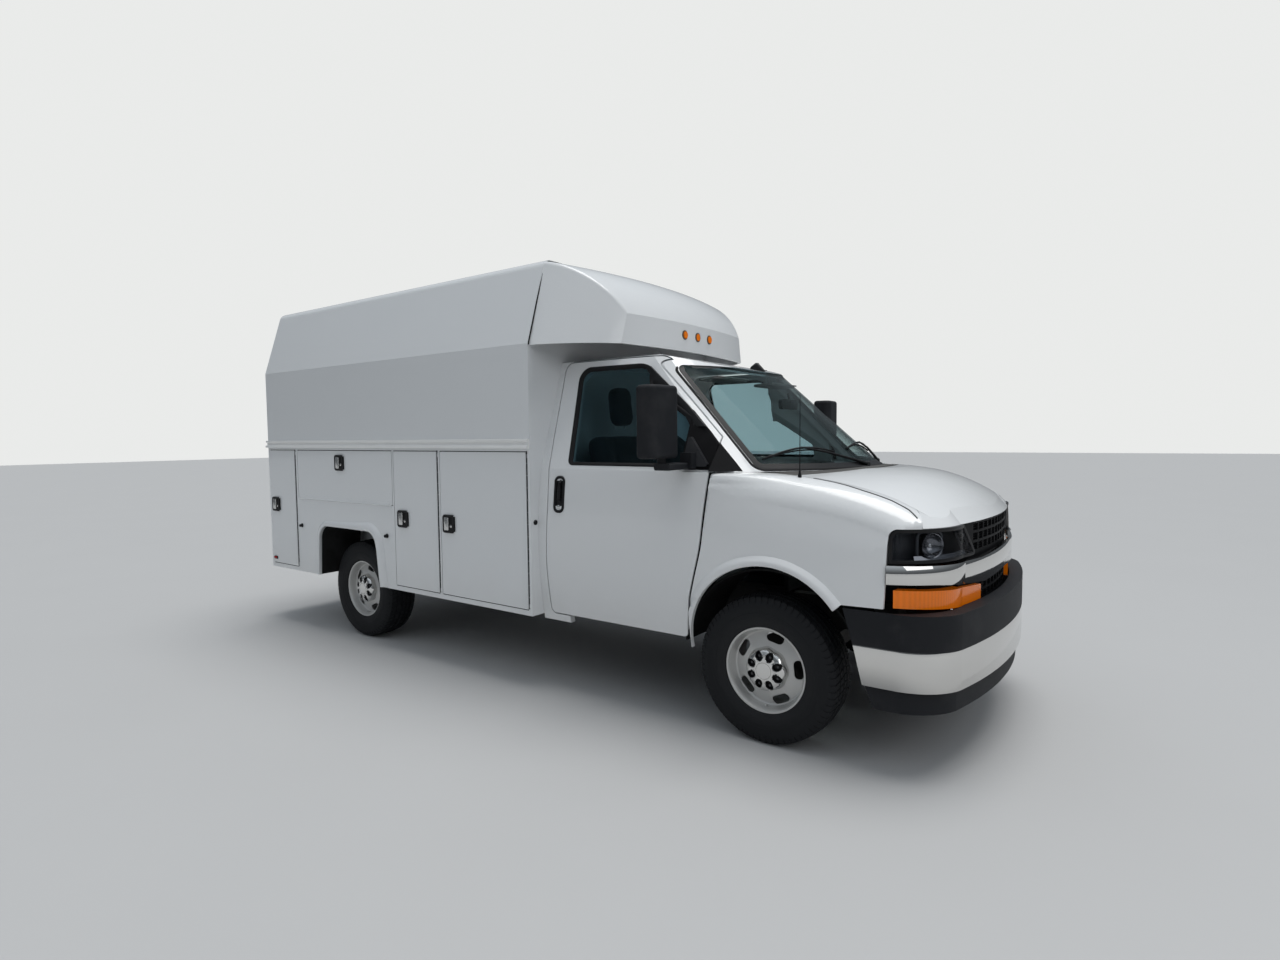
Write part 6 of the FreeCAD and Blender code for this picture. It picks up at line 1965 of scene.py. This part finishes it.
def on_glass(y, z, lift):
    hit, out = screen_tree.ray_cast(Vector((ahead(1.2), y, z)), BACKWARD, 2.0)[:2]
    return hit + out * lift if hit else None


def wiper(name, tip, heel, pivot):
    bows = [math.sin(math.pi * k / BLADE_STEPS) for k in range(BLADE_STEPS + 1)]
    blade = []
    for k, bow in enumerate(bows):
        y, z = [tip[i] + (heel[i] - tip[i]) * k / BLADE_STEPS for i in (0, 1)]
        blade.append((y, z + BLADE_BOW * bow))
    bm = bmesh.new()
    low = [p for p in (on_glass(y, z, BLADE_LIFT) for y, z in blade) if p]
    tube(bm, low, BLADE_RADIUS, 6)
    high = [on_glass(y, z, FRAME_LIFT + FRAME_BOW * bow) for (y, z), bow in zip(blade, bows)]
    high = [p for p in high if p]
    last = len(high) - 1
    radii = [FRAME_RADIUS + FRAME_RADIUS * math.sin(math.pi * k / last) for k in range(last + 1)]
    tube(bm, high, radii, 8, material=1)
    middle = high[len(high) // 2]
    foot = on_glass(pivot, ARM_PROBE, ARM_LIFT)
    foot.z = ARM_FOOT
    arm = [middle + Vector((0, 0, 0.004)), middle.lerp(foot, 0.35) + Vector((0.008, 0, 0.014)),
           middle.lerp(foot, 0.8) + Vector((0.004, 0, 0.014)), foot + Vector((0, 0, 0.010))]
    tube(bm, arm, ARM_RADII, 10, material=1)
    lathe(bm, ARM_NUT, upright(foot), 20, True, 1)
    return piece(name, bm, [seal_rubber, trim_black], "van", 45)


right_wiper = wiper("wiper_right", (-0.735, 1.455), (-0.285, 1.482), -0.080)
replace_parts(right_wiper, "wipers")
wiper("wiper_left", (-0.120, 1.500), (0.400, 1.478), 0.540)
print("wipers laid on the glass")

# %% Drip moulding over the cab doors
DRIP_REAR, DRIP_LENGTH, DRIP_STEPS = -1.500, 0.800, 18
DRIP_TOP, DRIP_PROBES, PROBE_DROP = 2.125, 40, 0.004
DRIP_OUT, DRIP_RADIUS, LONGEST_STEP = 0.002, 0.0060, 0.06
roof_edge = tree_of("cab_shell")


def drip_path(side):
    path = []
    for k in range(DRIP_STEPS + 1):
        x = ahead(DRIP_REAR + DRIP_LENGTH * k / DRIP_STEPS)
        for step in range(DRIP_PROBES):
            start = Vector((x, side * OUTSIDE, DRIP_TOP - PROBE_DROP * step))
            hit = roof_edge.ray_cast(start, Vector((0, -side, 0)), 0.75)[0]
            if hit and (not path or (hit - path[-1]).length < LONGEST_STEP):
                path.append(hit + Vector((0, side * DRIP_OUT, 0)))
            if hit:
                break
    return path


for name, side in SIDES.items():
    path = drip_path(side)
    bm = bmesh.new()
    tube(bm, path, DRIP_RADIUS, 8)
    piece("door_drip_" + name, bm, trim_black, "van", 50)
    print("drip", name, "from", [round(c, 3) for c in path[0]], "to", [round(c, 3) for c in path[-1]])

# %% Fin and whip
FIN_PROFILE = [(-0.636, 0.0), (-0.628, 0.040), (-0.596, 0.062), (-0.575, 0.060), (-0.528, 0.006),
               (-0.528, 0.0)]
FIN_Y, FIN_BULGE, FIN_BASE = 0.135, 0.014, 2.010
WHIP_FOOT = Vector((ahead(0.1405), -0.8385, 1.372))
WHIP_SOCKET = [(0.0, 0.0100), (0.014, 0.0095), (0.024, 0.0060), (0.040, 0.0045)]
WHIP_LEVELS, WHIP_RADII = (0.03, 0.10, 0.417), [0.0032, 0.0026, 0.0016]


def fin_ring(share):
    y = FIN_Y - FIN_BULGE * math.sqrt(1 - share ** 2)
    return [Vector((ahead(x), y, FIN_BASE + z * (0.6 + 0.4 * share))) for x, z in FIN_PROFILE]


near_half = [fin_ring(share) for share in (0.0, 0.4, 0.75, 1.0)]
far_half = [[Vector((p.x, 2 * FIN_Y - p.y, p.z)) for p in ring] for ring in near_half[2:]]
bm = bmesh.new()
loft(bm, near_half + far_half, capped=True)
lathe(bm, WHIP_SOCKET, upright(WHIP_FOOT), 20, True)
tube(bm, [WHIP_FOOT + Vector((0, 0, z)) for z in WHIP_LEVELS], WHIP_RADII, 8)
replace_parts(piece("antennas_dressed", bm, trim_black, "van", 40), "antennas")
print("wipers, mouldings and antennas done")


# %% [markdown]
# ## Floor, light and camera
# A plain pale floor catches the shadow. One broad sun overhead does what an open sky does: the hood and
# the roofs are bright and the walls fall off to grey. A weak panel in front lifts the nose. The camera
# stands where the photographer stood.

# %% Floor
FLOOR_HALF = 60.0


def stage_floor():
    mesh = bpy.data.meshes.new("floor")
    corners = [(x * FLOOR_HALF, y * FLOOR_HALF, 0) for x, y in ((-1, -1), (1, -1), (1, 1), (-1, 1))]
    mesh.from_pydata(corners, [], [(0, 1, 2, 3)])
    f = Finish("pale_floor")
    f.put(Base_Color=f.mix(f.noise(0.8, 6.0) * 0.25, (0.50, 0.50, 0.50), (0.43, 0.43, 0.43)), Roughness=0.85)
    mesh.materials.append(f.material)
    linked("floor", mesh)


stage_floor()
print("floor laid")


# %% World and lamps
SKY = (0.84, 0.92, 1.0)


def set_world(horizon, zenith, seen):
    # Camera and glass see a plain backdrop; the van is lit by a sky that brightens upward.
    world = bpy.data.worlds.new("studio")
    world.use_nodes = True
    bpy.context.scene.world = world
    tree = world.node_tree
    tree.nodes.clear()
    direct = node(tree, "ShaderNodeLightPath", output="Is Camera Ray")
    looked_at = direct.math("MAXIMUM", direct, direct.output("Is Transmission Ray"))
    place = node(tree, "ShaderNodeTexCoord", output="Generated")
    height = node(tree, "ShaderNodeSeparateXYZ", {}, {0: place}, 2)
    strength = horizon + height.ramp(0.0, 0.85) * (zenith - horizon)
    light = node(tree, "ShaderNodeBackground", {}, {"Color": rgba(SKY), "Strength": strength})
    plain = node(tree, "ShaderNodeBackground", {}, {"Color": rgba(seen), "Strength": 1.0})
    mixed = node(tree, "ShaderNodeMixShader", {}, {0: looked_at, 1: light, 2: plain})
    node(tree, "ShaderNodeOutputWorld", {}, {"Surface": mixed})


def area_lamp(name, place, target, size, power):
    data = bpy.data.lights.new(name, "AREA")
    data.shape = "RECTANGLE"
    data.size, data.size_y = size
    data.energy = power
    lamp = linked(name, data)
    lamp.location = place
    lamp.rotation_euler = (Vector(target) - Vector(place)).to_track_quat("-Z", "Y").to_euler()


def sun_lamp(name, direction, power, spread, color):
    data = bpy.data.lights.new(name, "SUN")
    data.energy = power
    data.angle = spread
    data.color = color
    lamp = linked(name, data)
    lamp.rotation_euler = Vector(direction).to_track_quat("-Z", "Y").to_euler()


set_world(0.10, 0.62, (0.82, 0.83, 0.82))
sun_lamp("sky_sun", (-0.10, -0.14, -1.0), 1.75, 0.7, (1.0, 0.985, 0.96))
area_lamp("front_panel", (8.5, -3.0, 4.5), (1.5, 0.0, 1.2), (5.0, 3.0), 60.0)
print("lamps placed")

# %% Camera
EYE = Vector((3.5239, -4.1835, 1.5879))
YAW, PITCH, ROLL = 2.1993, 0.0617, -0.0093
FOCAL_PIXELS = 706.56
PICTURE_WIDTH = 1280.0
SENSOR = 36.0


def place_camera():
    look = Vector((math.cos(YAW) * math.cos(PITCH), math.sin(YAW) * math.cos(PITCH), -math.sin(PITCH)))
    right = look.cross(UP).normalized()
    up = right.cross(look)
    right, up = (math.cos(ROLL) * right + math.sin(ROLL) * up, math.cos(ROLL) * up - math.sin(ROLL) * right)
    turn = Matrix((right, up, -look)).transposed().to_4x4()
    data = bpy.data.cameras.new("camera")
    data.sensor_width = SENSOR
    data.lens = FOCAL_PIXELS * SENSOR / PICTURE_WIDTH
    camera = linked("camera", data)
    camera.matrix_world = Matrix.Translation(EYE) @ turn
    bpy.context.scene.camera = camera


place_camera()
bpy.context.scene.view_settings.view_transform = "Standard"
print("camera placed")
